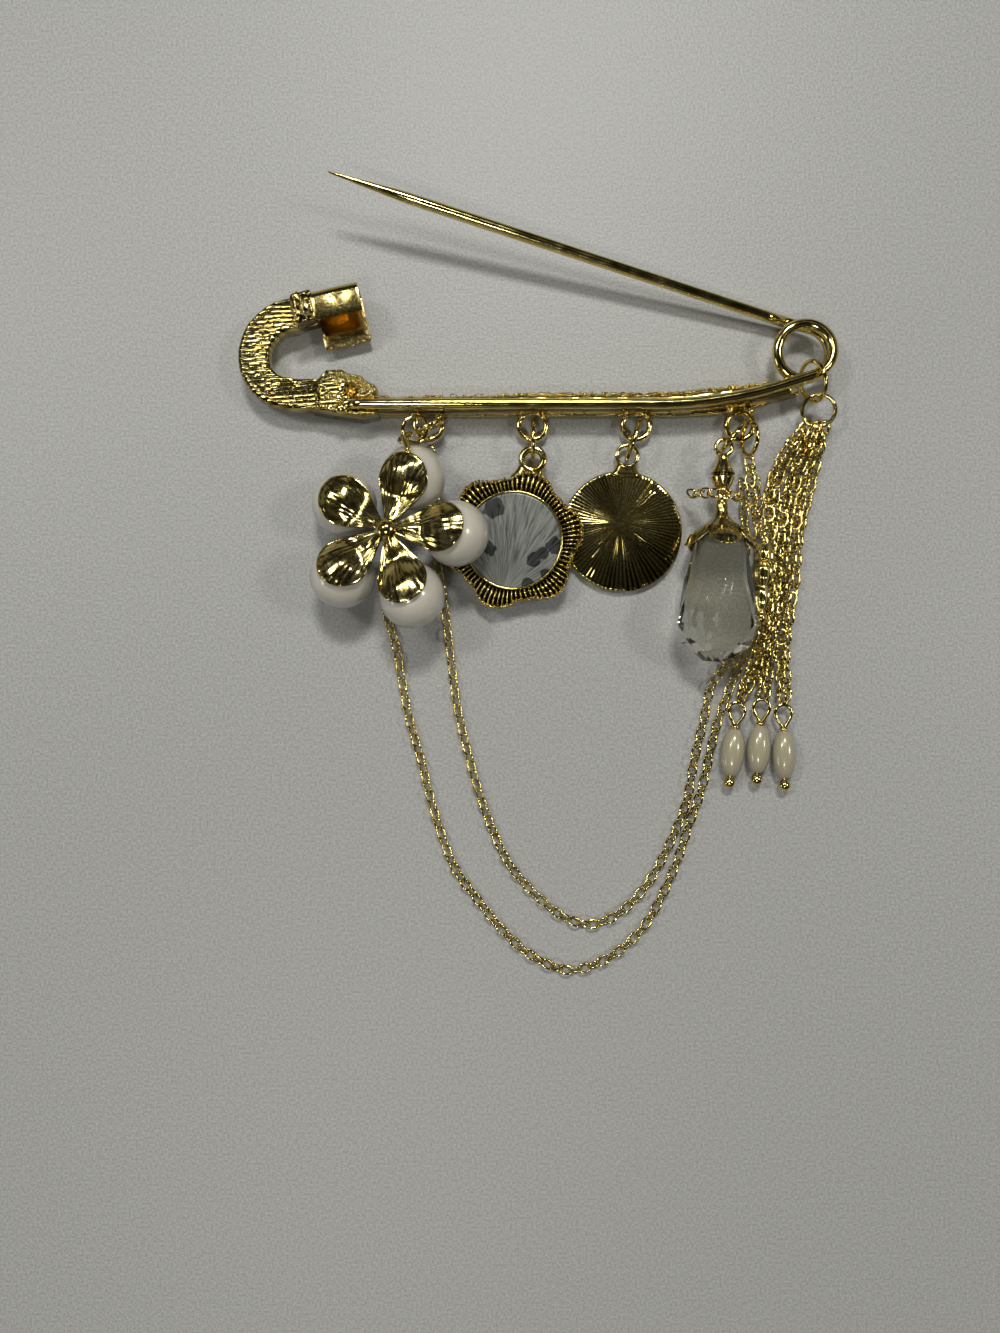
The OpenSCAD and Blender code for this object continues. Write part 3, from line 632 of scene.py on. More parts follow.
def bar_edges(x):
    """Lower and upper edge of the cast bar at a place along it."""
    low = FLANGE_LOW + np.interp(x, [23.0, 28.0, 33.0, BAR_TIP], [0, 0.3, 1.3, 2.6])
    top = FLANGE_TOP + np.interp(
        x, [BAR_LEFT, -4.0, 4.0, 20.0, 24.0, 28.0, 34.5, BAR_TIP], [-0.45, -0.3, 0, 0, 0.25, 0.8, 1.35, 1.2])
    return low, top


def in_hood(points):
    """Points drawn from the hood's corner, with the hood along X."""
    return turned(points, Z, HOOD_TURN) + HOOD_CORNER


def soften(piece, width, segments, least=30):
    """Rounds the edges of a piece that turn by more than the least angle, width in mm."""
    edge = piece.modifiers.new("soft edges", "BEVEL")
    edge.width = width * MM
    edge.segments = segments
    edge.limit_method = "ANGLE"
    edge.angle_limit = math.radians(least)


class BROOCH_OT_cast_bar(bpy.types.Operator):
    """Cast bar under the back wire, its four loops, the round head, the hood and the stepped end"""

    bl_idname = "brooch.cast_bar"
    bl_label = "Cast bar, head and hood"

    def bar(self, sizes):
        """The bar's flange and ridge, with nubs of plating."""
        stations = np.linspace(BAR_LEFT, BAR_TIP, 460)
        flange_t = sizes.flange_t
        rows, painted_shades = [], []
        for x in stations:
            low, top = bar_edges(x)
            ridge = max(top - sizes.ridge_w, low + 0.05)
            deep = top - ridge
            height = sizes.ridge_t * min(1, 0.5 + (BAR_TIP - x) / 3)
            # Across, up, and the painted shade, which is deepest in the channel between flange and ridge
            outline = [
                (low + 0.25, 0, 0), (low, 0.3, 0), (low, flange_t - 0.35, 0), (low + 0.3, flange_t, 0.4),
                ((low + ridge) / 2, flange_t, 0.9), (ridge - 0.1, flange_t + 0.05, 1),
                (ridge, flange_t + 0.4, 0.9), (ridge + 0.02, height - 0.5, 0.5),
                (ridge + 0.12 * deep, height - 0.1, 0), (ridge + 0.35 * deep, height, 0),
                (ridge + 0.65 * deep, height, 0),
                (ridge + 0.88 * deep, height - 0.15, 0), (top, height - 0.6, 0), (top, 1.6, 0), (top, 0.3, 0),
                (top - 0.25, 0, 0),
            ]
            rows.extend([(x, y, z) for y, z, _ in outline])
            painted_shades.extend([painted_shade for _, _, painted_shade in outline])
        points = rough(rows, 0.05, 0.55, 4)
        points[:, 2] = np.maximum(points[:, 2], 0.02)
        shape = Shape().add(points, capped_grid(len(stations), len(outline)), painted_shades)
        # Nubs of plating along the bar's top edge, under the wire
        dice = np.random.default_rng(11)
        for x in np.concatenate([dice.uniform(-16, 37.2, 110), dice.uniform(3, 37.4, 190)]):
            y = bar_edges(x)[1] - dice.uniform(-0.04, 0.75) * dice.uniform(0.2, 1)
            at = (x, y, sizes.ridge_t - dice.uniform(0.0, 0.3))
            shape.add(*ball(at, dice.uniform(0.09, 0.2), (2.0, 0.9, 0.8), 8))
        for x in dice.uniform(-13, 36.5, 120):
            at = (x, bar_edges(x)[0] + dice.uniform(0, 0.25), 1.4)
            shape.add(*ball(at, dice.uniform(0.08, 0.17), (2.4, 0.9, 0.8), 8))
        return shape

    def loops(self, sizes, shape):
        ring_r = (sizes.loop_d - sizes.loop_wire) / 2
        turn = np.linspace(0, TAU, 64, endpoint=False)
        for i in range(4):
            middle = np.array([LOOP_FIRST + i * LOOP_PITCH, LOOP_LINE, LOOP_HEIGHT])
            low = bar_edges(middle[0])[0]
            points, faces = tube(middle + ring_r * circle(turn), sizes.loop_wire / 2, 16, True)
            shape.add(rough(points, 0.03, 0.6, 20 + i), faces)
            for side in (-1, 1):
                at = middle + np.array([side * 0.75 * ring_r, low - middle[1] - 0.1, 0.1])
                shape.add(*ball(at, 0.5, (1.0, 0.9, 0.75), 14))

    def head(self, sizes):
        """A ribbed band with a flat back and rounded shoulders."""
        tube_r = sizes.head_t / 2
        around = 128
        path = spaced(curve_through(HEAD_LINE, 12), 0.075)
        ways = np.gradient(path, axis=0)
        outs = np.cross(ways / np.linalg.norm(ways, axis=1)[:, None], -Z)
        # Closely spaced over the flat back, where the ribs are
        lean = all_round(around)
        flat = np.arccos(np.clip(np.sign(np.cos(lean)) * abs(1 - 2 * lean / math.pi) ** 1.8, -1, 1))
        lean = np.where(lean < math.pi, flat, lean)
        points, painted_shades = [], []
        for k, (at, out) in enumerate(zip(path, outs)):
            # Its end under the hood's collar is rounded off
            end = math.sqrt(max(0.02, 1 - (1 - min(1, k / 9)) ** 2))
            for b in lean:
                c, s = math.cos(b), math.sin(b)
                across = tube_r * math.copysign(abs(c) ** 0.55, c) * end
                rise = math.copysign(abs(s) ** (0.22 if s > 0 else 0.8), s) + 0.3
                up = tube_r * rise * (0.5 + 0.5 * end) - 0.3 * tube_r
                # The band's back is a little lower towards its outside
                up -= 0.3 * max(0, s) * (across / tube_r + 1) / 2
                p = at + across * out + (tube_r + up) * Z
                wave = 0.5 * math.sin(p[0] * 0.9 + 1.7 * math.sin(p[1] * 0.7))
                rib = 0.5 + 0.5 * math.sin(TAU * (p[1] - 0.09 * p[0]) / sizes.head_rib + wave)
                depth = 0.08 * (1 - rib) * max(0, min(1, 0.3 + 1.5 * s))
                points.append(p - depth * Z)
                # Painted shade, strongest in the furrows between the ribs and weaker on the band's lower half
                painted_shades.append((0.16 + 0.26 * (1 - rib) ** 1.5) * (1 if s > 0 else 0.4))
        return Shape().add(rough(points, 0.035, 0.5, 6), capped_grid(len(path), around), painted_shades)

    def stepped_end(self, sizes):
        """The lumpy cast end that the wire is soldered to."""
        dice = np.random.default_rng(31)
        # Nubs of the casting: along the upper strip, over the right end and round the wire's end
        patches = ((80, (-21.2, -16.9), (35.0, 36.7)), (42, (-17.6, -15.4), (33.7, 35.7)),
                   (22, (-17.4, -15.4), (31.1, 32.0)), (24, (-23.2, -20.0), (31.9, 34.9)))
        nubs = [[dice.uniform(*span) for span in (across, along, (0.12, 0.26), (0.12, 0.4))]
                for count, across, along in patches for _ in range(count)]
        xs = np.linspace(-23.6, -15.2, 136)

        def edges(x):
            high = np.interp(x, [-23.6, -22.8, -21.6, -19.6, -18.9, -17.2, -16.7, -15.6, -15.2],
                             [35.3, 35.6, 36.8, 36.9, 36.4, 36.1, 35.5, 35.0, 34.5])
            return np.interp(x, [-23.6, -21.5, -17.1, -16.7, -15.2], [31.95, 31.5, 30.9, 31.0, 31.3]), high

        def hollow(x, y):
            return math.exp(-((x + 18.5) / 0.6) ** 2 - ((y - 34.3) / 0.5) ** 2)

        def top(x, y):
            low, high = edges(x)
            height = 4.0 + 0.035 * math.sin(TAU * (y - 0.09 * x) / sizes.head_rib) * (x < -18.6)
            for nx, ny, size, tall in nubs:
                off = ((x - nx) ** 2 + (y - ny) ** 2) / size ** 2
                height = max(height, 3.95 + tall * math.exp(-off)) if off < 4 else height
            height -= 1.3 * hollow(x, y)
            if x > -18.9:
                height = min(height, 3.5 + 1.6 * max(0, abs(y - WIRE_LINE) - 0.7))
            height -= 0.45 * max(0, -22.2 - x)
            edge = min(y - low, high - y, -15.1 - x)
            return height - 0.5 * math.exp(-edge / 0.16)

        points, faces = relief(xs, edges, top, 104, 2.6)
        # Painted shade: a little darkening all over, more on the sides between 3 and 3.7 mm up, and amber in
        # the hollow
        shape = Shape().add(points, faces, [
            max(0.18, min(1, 1.3 * hollow(x, y)) + 0.3 * (z < 3.7) * (z > 3)) for x, y, z in points])
        # Solder where the wire ends
        shape.add(*ball((-19.6, 31.9, 4.2), 0.85, (1, 0.8, 0.75), 28))
        shape.add(*ball((-19.9, 33.2, 4.15), 0.6, (0.9, 1.1, 0.8), 24))
        return shape.add(*ball((WIRE_LEFT - 0.1, WIRE_LINE, 4.1), 0.8, (1.0, 1, 0.75), 24))

    def execute(self, context):
        sizes, look = context.scene.brooch_pin, context.scene.brooch_look
        casting = gold_casting(look)
        shape = self.bar(sizes)
        self.loops(sizes, shape)
        shape.piece("cast_bar", casting, slot="cast_gold")
        self.head(sizes).piece("round_head", casting, slot="cast_gold")
        self.stepped_end(sizes).piece("stepped_end", casting, slot="cast_gold")
        self.hood(sizes, look)
        return {"FINISHED"}

    def hood(self, sizes, look):
        """The catch: a bent sheet on a block of solder that joins it to the head."""
        sheet = gold_casting(look, "gold_plated_hood", skin=0.12)
        # Section of the bent sheet, across the hood and up: lower plate, back wall, top plate
        wall = sizes.hood_wall / 2
        low, high, back, bend_r = 1.2 + wall, sizes.hood_h - wall, sizes.hood_w - wall, 0.9

        def bend(start, end, count, middle):
            return [(back - bend_r + bend_r * math.cos(a), middle + bend_r * math.sin(a))
                    for a in np.radians(np.linspace(start, end, count))]

        section = curve_through([
            (-2.4, low), (-1.2, low), (0.4, low), (back - bend_r, low), *bend(-80, 0, 6, low + bend_r),
            (back, (low + high) / 2), *bend(0, 90, 7, high - bend_r), (back - 1.6, high + 0.03), (0.9, high),
            (wall, high - 0.06)], 3)
        along = np.linspace(0, sizes.hood_l, 16)
        ahead = np.gradient(section, axis=0)
        ahead /= np.linalg.norm(ahead, axis=1)[:, None]
        square = np.stack([-ahead[:, 1], ahead[:, 0]], 1)
        points, painted_shades = [], []
        for x in along:
            dent = 0.12 * hump(x - 3.2, 1.3)
            for k, (y, z) in enumerate(section):
                for side in (1, -1):
                    py, pz = np.array([y, z]) + side * wall * square[k]
                    sag = dent * hump(y - 2.4, 0.9) if z > high - 0.3 else 0
                    points.append((x, py, pz - sag))
                    # The inside of the hood is painted with amber shade
                    painted_shades.append(1.0 if side > 0 else 0.0)
        count = len(section) * 2
        loop = list(range(0, count, 2)) + list(range(count - 1, 0, -2))
        faces = []
        for i in range(len(along) - 1):
            faces += band([i * count + a for a in loop], [(i + 1) * count + a for a in loop])
        for i in (0, len(along) - 1):
            for k in range(len(section) - 1):
                a, b = i * count + 2 * k, i * count + 2 * k + 2
                faces.append((a, b, b + 1, a + 1))
        hood = Shape().add(in_hood(points), faces, painted_shades).piece("hood", sheet, slot="cast_gold")
        soften(hood, 0.12, 3)
        end = Shape()
        # Blocks of the collar: size and lowest corner
        for k, (size, at) in enumerate((
                ((0.9, 3.2, 4.6), (-2.6, 0.9, 0.8)), ((2.3, 1.3, 4.6), (-2.3, 2.9, 1.0)),
                ((2.0, 3.4, 1.5), (-2.0, 0.6, 1.2)), ((2.5, 3.6, 1.9), (-2.4, 0.4, 3.9)))):
            block, faces = dense_block(size, at, 0.24, 0.12)
            block = rough(block, 0.06, 0.5, 40 + k)
            # Painted shade: the collar darkened all over, and a low band of it turned amber
            amber = [0.85 if 1 < p[1] < 1.4 and p[2] < 4 else 0.42 for p in block]
            end.add(in_hood(block), faces, amber)
        dice = np.random.default_rng(8)
        # Solder that ran over the collar, down its side and along the lower plate's free edges
        for low, high, count in (
                ((-2.5, 0.3, 5.4), (0.1, 4.1, 5.8), 90), ((-2.8, 0.0, 4.6), (-2.2, 3.9, 5.5), 40),
                ((-2.3, 0.4, 2.0), (-1.9, 3.9, 5.4), 30), ((0.2, -2.4, 1.5), (5.7, -2.2, 1.9), 26),
                ((5.5, -2.2, 1.6), (5.8, 0.4, 2.0), 22)):
            for _ in range(count):
                at = in_hood(dice.uniform(low, high))
                end.add(*ball(at, dice.uniform(0.12, 0.27), (1, 1, 0.8), 10))
        end.piece("hood_end", gold_casting(look, "gold_plated_solder"), slot="cast_gold")


# Charms


def in_flower(points):
    return turned(points, FLOWER_LEAN, -bpy.context.scene.brooch_charms.flower_tilt) + FLOWER_MIDDLE


class BROOCH_OT_flower(bpy.types.Operator):
    """Flower of five pearls under ribbed cast petals"""

    bl_idname = "brooch.flower"
    bl_label = "Pearl flower"

    def petal(self, sizes, i):
        """One ribbed petal over its pearl, with its underside."""
        pearl_r = sizes.pearl_d / 2
        round_r = sizes.petal_w / 2
        round_x = sizes.flower_r + 1.8 - round_r
        shell_r = pearl_r + 0.1 + sizes.petal_t
        widest = math.asin(round_r / round_x)
        across, along = 151, 44
        points, painted_shades = [], []
        for v in np.linspace(-1, 1, across):
            a = widest * math.sin(v * math.pi / 2) * 0.999
            reach = round_x * math.cos(a) + math.sqrt(max(0, round_r ** 2 - (round_x * math.sin(a)) ** 2))
            near = 0.4
            for u in np.linspace(0, 1, along):
                r = near + (reach - near) * u
                x, y = r * math.cos(a), r * math.sin(a)
                off = math.hypot(x - sizes.flower_r, y)
                dome = math.sqrt(shell_r ** 2 - off ** 2) if off < shell_r else 0
                neck = 3.75 - 0.12 * r
                z = math.log(math.exp(2.4 * dome) + math.exp(2.4 * neck)) / 2.4 - 0.12
                # A low keel down the petal's middle near the neck
                z += 0.25 * hump(a, 0.16) * hump(r - 2.2, 1.6)
                part = a / widest
                rib = 0.5 + 0.5 * math.cos(part * math.pi * sizes.petal_ribs + 0.6 * math.sin(0.9 * r + i))
                deep = 0.55 + 0.45 * math.sin(part * 7.3 + 0.7 * r + 2 * i)
                fade = min(1, r / 2.5) * deep
                edge = hump((1 - u) * (reach - near), 0.22)
                z += 0.03 * (rib - 1) * fade + 0.12 * edge
                z += 0.04 * math.sin(1.1 * x + 2.3 * y + i) * math.sin(1.7 * x - y)
                points.append((x, y, z))
                # Painted shade between the ribs, growing darker and then amber towards the flower's middle
                painted_shades.append(min(1, 0.3 * (1 - rib) ** 2 * fade + 0.7 * hump(r, 1.3)))
        top = np.array(points)
        under = top * [0.985, 0.985, 1] - [0, 0, sizes.petal_t]
        count = len(top)
        rim = grid_rim(across, along)
        faces = doubled(grid_faces(across, along), count) + band(rim, [k + count for k in rim])
        placed = in_flower(turned(np.vstack([top, under]), Z, FLOWER_TURN - 72 * i))
        # The petals' undersides are painted with amber shade
        return placed, faces, painted_shades + [0.9] * count

    def execute(self, context):
        sizes, look = context.scene.brooch_charms, context.scene.brooch_look
        casting = gold_casting(look, "gold_plated_petals", skin=0.15)
        shape = Shape()
        for i in range(5):
            shape.add(*self.petal(sizes, i))
        shape.put(ball((0, 0, 2.9), 1.5, around=24), in_flower)
        # The tab's eye stands square to the jump ring that passes through it and through the next ring
        link, place = np.array([-9.11, 29.76, 3.15]), np.array([-11.71, 28.27, 4.3])
        middle, normal = ring_through(link, place, (0.38, 0.56, -0.06), 1.66)
        way = unit(np.cross(place - middle, normal))
        tab = curve_through([(-10.95, 25.75, 8.6), (-11.7, 27.9, 7.1), place + 0.85 * unit(Z - way * way[2])])
        shape.add(*tube(tab, 0.35, 14))
        shape.add(*ring_mesh(place, way, 0.85, 0.25))
        shape.piece("petals", casting, node="flower_back")
        lacquer = pearl_coat(look, "pearl_lacquered_abs", look.pearl_body)
        for i in range(5):
            middle = in_flower(turned([sizes.flower_r, 0, 0], Z, FLOWER_TURN - 72 * i))
            Shape().add(*ball(middle, sizes.pearl_d / 2, around=64)).piece(
                f"round_pearl_{i + 1}", lacquer, node=f"flower_pearl_{i + 1}")
        return {"FINISHED"}


def ring_through(a, b, up, r):
    """Middle and normal of a ring of wire that passes through two points."""
    along = unit(b - a)
    side = unit(np.asarray(up) - along * np.dot(up, along))
    middle = (a + b) / 2 + side * math.sqrt(max(0, r * r - np.dot(b - a, b - a) / 4))
    return middle, unit(np.cross(b - a, up))


def ring_mesh(middle, normal, radius, wire_r, cut=0.0, sides=18):
    """A ring of wire, closed or with a fine cut where its ends meet."""
    closed = cut == 0
    turn = np.linspace(0, TAU, 72, endpoint=False) if closed else np.linspace(cut, TAU - cut, 72)
    return tube(aimed(radius * circle(turn), middle, normal), wire_r, sides, closed)


def tab_neck(turn, near, far, far_w, near_w, thick, height):
    """A flat neck that widens from a charm's tab to its rim."""
    points, faces = dense_block((1, far - near, thick), (-0.5, near, height - thick / 2), 0.2, 0.2)
    run = (far - points[:, 1]) / (far - near)
    points[:, 0] *= far_w + (near_w - far_w) * run ** 2
    return turned(points, Z, turn - 90), faces


def flat_eye(at, outer, hole, thick, bevel=0.18):
    """The flat round end of a charm's tab, with its hole."""
    top = thick / 2
    rows = [(outer, bevel - top), (outer, top - bevel), (outer - bevel, top), (hole + bevel, top),
            (hole, top - bevel), (hole, bevel - top), (hole + bevel, -top), (outer - bevel, -top)]
    points = [polar(r, a, z) for a in all_round(64) for r, z in rows]
    return np.array(points) + at, grid_faces(64, len(rows), True, True)


class BROOCH_OT_medallion(bpy.types.Operator):
    """Six-lobed medallion: roped frame, hanging tab and a clear resin window"""

    bl_idname = "brooch.medallion"
    bl_label = "Medallion"

    def execute(self, context):
        sizes, look = context.scene.brooch_charms, context.scene.brooch_look
        casting = gold_casting(look, "gold_plated_rope_frame", skin=0.2)
        lobe_at = sizes.lobe_reach - sizes.lobe_r
        around, section = 1160, 30
        points, painted_shades, edge = [], [], []
        inner = sizes.window_r - 0.02
        for a in all_round(around):
            outer = sizes.frame_r
            for k in range(6):
                d = a - math.radians(11 + 60 * k)
                inside = sizes.lobe_r ** 2 - (lobe_at * math.sin(d)) ** 2
                if inside > 0 and math.cos(d) > 0:
                    outer = max(outer, lobe_at * math.cos(d) + math.sqrt(inside))
            edge.append((outer, a))
            half, mid = (outer - inner) / 2, (outer + inner) / 2
            for b in all_round(section):
                c, s = math.cos(b), math.sin(b)
                # Twisted strands: the ribs lean round the tube as they go along it
                rib = 0.5 + 0.5 * math.cos(sizes.frame_ribs * a + 0.45 * b + 1.2 * math.sin(7 * a))
                swell = 1 - 0.26 * (1 - rib) ** 1.2
                r = mid + half * math.copysign(abs(c) ** 0.9, c) * (0.5 + 0.5 * swell)
                z = sizes.frame_t / 2 * math.copysign(abs(s) ** 0.8, s) * swell
                points.append(polar(r, a, z))
                # Painted shade, strongest in the furrows between the ribs
                painted_shades.append(0.08 + 0.42 * min(1, 1.5 * (1 - rib) ** 1.3))
        shape = Shape().add(points, grid_faces(around, section, True, True), painted_shades)
        # Thin bright bead round the window
        shape.add(*ring_mesh(0.74 * sizes.frame_t / 2 * Z, Z, sizes.window_r + 0.02, 0.13))
        tab_turn = 76.6
        tab = np.radians(tab_turn)
        place = 10.4 * np.array([math.cos(tab), math.sin(tab), 0])
        shape.add(*flat_eye(place, 1.8, 0.95, 1.1))
        shape.add(*tab_neck(tab_turn, 7.6, 9.5, 3.1, 5.0, 1.1, 0))
        # Fine beads along the outer edge
        dice = np.random.default_rng(31)
        for outer, a in edge[::9]:
            r = outer + dice.uniform(-0.28, -0.08)
            at = polar(r, a, dice.uniform(0.28, 0.42) * sizes.frame_t)
            shape.add(*ball(at, dice.uniform(0.18, 0.3), around=8))
        shape.points = (turned(shape.points, Y, -MEDALLION_TILT) + MEDALLION_MIDDLE).tolist()
        shape.piece("rope_frame", casting, node="medallion_frame")
        rim_r = sizes.window_r - 0.1
        rows = [(r, 0.82 + 0.08 * math.cos(r / sizes.window_r * 1.4)) for r in np.linspace(0.05, rim_r, 26)]
        rows = [(r, -0.85) for r in (0.05, 2, 4, rim_r)] + list(reversed(rows))
        points, faces = lathe(rows, 96)
        points = turned(points, Y, -MEDALLION_TILT) + MEDALLION_MIDDLE
        resin = glued_resin(look, sizes.window_r)
        Shape().add(points, faces).piece("resin_window", resin, node="medallion_window")
        return {"FINISHED"}


class BROOCH_OT_disc(bpy.types.Operator):
    """Round charm with ribs that spread over its back from one point"""

    bl_idname = "brooch.disc"
    bl_label = "Round charm"

    def execute(self, context):
        sizes, look = context.scene.brooch_charms, context.scene.brooch_look
        casting = gold_casting(look, "gold_plated_disc", skin=0.03, shine=(0.1, 0.18))
        disc_r = sizes.disc_d / 2
        # The ribs spread from here
        source = np.array([-0.2, 1.0])
        around, along = 1300, 34
        points, painted_shades = [], []
        for u in np.linspace(0.01, 1, along):
            for a in all_round(around):
                way = np.array([math.cos(a), math.sin(a)])
                across = np.dot(source, way)
                reach = -across + math.sqrt(across ** 2 + disc_r ** 2 - np.dot(source, source))
                p = source + way * reach * u
                # Cut lines, deep in two sectors and faint in the others
                cut = (0.5 + 0.5 * math.cos(sizes.disc_ribs * a + 2.5 * math.sin(3 * a))) ** 1.7
                deep = 0.2 + 1.3 * hump(math.sin((a - 2.4) / 2), 0.36)
                deep += 1.2 * hump(math.sin((a - 5.1) / 2), 0.45)
                deep *= 0.75 + 0.25 * math.sin(17 * a)
                fade = min(1, max(0, reach * u / disc_r - 0.1) / 0.35) * min(1, deep)
                line = sum(hump(a - at, 0.011) for at, near, far in DISC_LINES if near < u < far)
                edge = hump(disc_r - np.linalg.norm(p), 0.35)
                z = sizes.disc_mid - 0.12 - 0.12 * (np.linalg.norm(p) / disc_r) ** 2
                z += 0.035 * line - 0.026 * cut * fade - 0.12 * max(0, edge - 0.75)
                z += 0.03 * edge * math.cos(104 * a) * math.sin(7 * a)
                points.append((p[0], p[1], z))
                # Painted shade along the cut lines where they are deep, kept off the bright raised lines
                painted_shades.append(max(0, 0.1 + 0.4 * min(1, 1.6 * cut) * fade - 0.3 * min(1, line)))
        # The rim's side and the plain underside
        rim = np.array(points[-around:])
        for stretch, lift in (([1.004, 1.004, 0.7], 0), ([1.004, 1.004, 0.2], 0), ([0.98, 0.98, 0], 0.02)):
            points.extend((rim * stretch + [0, 0, lift]).tolist())
            painted_shades.extend([0.0] * around)
        shape = Shape().add(points, capped_grid(along + 3, around), painted_shades)
        tab_turn = 86
        tab = np.radians(tab_turn)
        place = 9.5 * np.array([math.cos(tab), math.sin(tab), 0]) + 1.2 * Z
        shape.add(*flat_eye(place, 1.57, 1.1, 0.6, 0.1))
        shape.add(*tab_neck(tab_turn, 6.9, 8.5, 2.6, 4.4, 0.7, 1.1))
        shape.points = (np.array(shape.points) + DISC_MIDDLE).tolist()
        shape.piece("ribbed_disc", casting, node="disc_charm")
        return {"FINISHED"}


def in_drop(points):
    """From along the drop's own axis, stem's eye first, to its place."""
    way = turned(turned(Z, Y, 90 - DROP_DIP), Z, DROP_TURN)
    side = turned(turned(X, Y, 90 - DROP_DIP), Z, DROP_TURN)
    other = np.cross(way, side)
    return DROP_EYE + np.asarray(points, float) @ np.array([side, other, way])


class BROOCH_OT_drop(bpy.types.Operator):
    """Clear faceted drop under a petal cap, with a barrel stem"""

    bl_idname = "brooch.drop"
    bl_label = "Clear drop"

    def execute(self, context):
        sizes, look = context.scene.brooch_charms, context.scene.brooch_look
        casting = gold_casting(look, "gold_plated_cap", skin=0.15)
        cap_l, barrel_r = sizes.cap_l, sizes.barrel_d / 2
        # Where the cap starts and how far the stone reaches into it, from the stem's eye
        cap_at, overlap = 7.0, 2.2
        shape = Shape().put(ring_mesh((0, 0, 0), X, 1.0, 0.26), in_drop)
        # Eye, then two cones foot to foot with a waist darkened by painted shade, then the cap's neck
        waist = 1.2 + sizes.barrel_l / 2
        stem = [
            (0.3, 0.85), (0.6, 0.95), (0.72, 1.3), (0.68, 1.5), (1.05, waist - 1.1),
            (barrel_r - 0.05, waist - 0.35), (barrel_r - 0.02, waist - 0.2), (barrel_r - 0.3, waist - 0.08),
            (barrel_r - 0.32, waist + 0.12), (barrel_r - 0.05, waist + 0.25), (barrel_r - 0.1, waist + 0.5),
            (1.05, waist + 1.3), (0.7, waist + 2.0), (0.62, 6.3), (0.72, 6.8), (0.7, 7.3), (0.4, 7.6)]
        points, faces = lathe(curve_through(stem, 4), 64)
        # Painted shade in the waist's notch
        dark = [0.45 * hump(p[2] - waist, 0.3) for p in points]
        shape.add(in_drop(points), faces, dark)
        around, along = 480, 60
        outer, painted_shades = [], []
        # Radius of the cap at each height
        widths = curve_through([
            (0.72, 0), (0.78, 0.9), (1.05, 1.7), (1.8, 2.4), (2.8, 3.1), (3.6, 3.9), (4.1, 4.8),
            (sizes.cap_w / 2 - 0.15, cap_l)], 10)
        for u in np.linspace(0, 1, along):
            for a in all_round(around):
                # Five petals like folded leaves: long in the middle of each, cut back between them
                petal = abs(math.sin(2.5 * a))
                reach = cap_l * (0.58 + 0.27 * petal ** 0.7) * u
                fold = petal ** 1.5 - 0.5 - 0.35 * hump(1 - petal, 0.02)
                r = np.interp(reach, widths[:, 1], widths[:, 0]) * (1 + 0.16 * fold * u ** 2)
                rib = 0.5 + 0.5 * math.cos(sizes.cap_ribs * a)
                rim = hump((1 - u) * cap_l, 0.3)
                r += 0.012 * (rib - 1) + 0.12 * rim * (0.8 + 0.2 * math.cos(90 * a))
                outer.append(polar(r, a, cap_at + reach))
                # Painted shade: darker away from the neck, in the valleys between the petals and between the
                # ribs, and none at the rim
                valley = hump(petal, 0.16) * min(1, 3 * u)
                dark = min(0.5, 0.22 * min(1, 2 * u) + 0.4 * valley + 0.08 * (1 - rib))
                painted_shades.append(dark * (1 - rim) + 0.03)
        outer = np.array(outer)
        inner = outer * [0.91, 0.91, 1] + [0, 0, 0.02]
        count = len(outer)
        faces = doubled(grid_faces(along, around, False, True), count)
        for start in (0, (along - 1) * around):
            ring = list(range(start, start + around))
            faces += band(ring, [k + count for k in ring])
        # The inside of the cap is painted with amber shade
        shape.add(in_drop(np.vstack([outer, inner])), faces, painted_shades + [0.7] * count)
        shape.piece("petal_cap_and_stem", casting, node="drop_cap")
        self.crystal(sizes, cap_at + cap_l - overlap)
        return {"FINISHED"}

    def crystal(self, sizes, start):
        """The faceted stone: rings of corners, each turned half a facet from the last."""
        n = sizes.crystal_sides
        rings = [(0.0, 0.6), (0.36, 0.84), (0.7, 1.0), (0.87, 0.8), (1.0, 0.3)]
        points = []
        for k, (along, wide) in enumerate(rings):
            for i in range(n):
                a = (i + (k % 2) / 2) * TAU / n
                r = wide * sizes.crystal_w / 2
                points.append(polar(r, a, start + along * sizes.crystal_l))
        faces = [tuple(reversed(range(n))), tuple(4 * n + i for i in range(n))]
        for k in range(4):
            for i in range(n):
                j = (i + 1) % n
                low, high = k * n, (k + 1) * n
                if k % 2 == 0:
                    faces += [(low + i, low + j, high + i), (low + j, high + j, high + i)]
                else:
                    faces += [(low + i, low + j, high + j), (low + i, high + j, high + i)]
        shape = Shape().add(in_drop(points), faces)
        stone = shape.piece("clear_drop", clear_acrylic(), node="crystal_drop", smooth=False)
        soften(stone, 0.1, 2, 5)


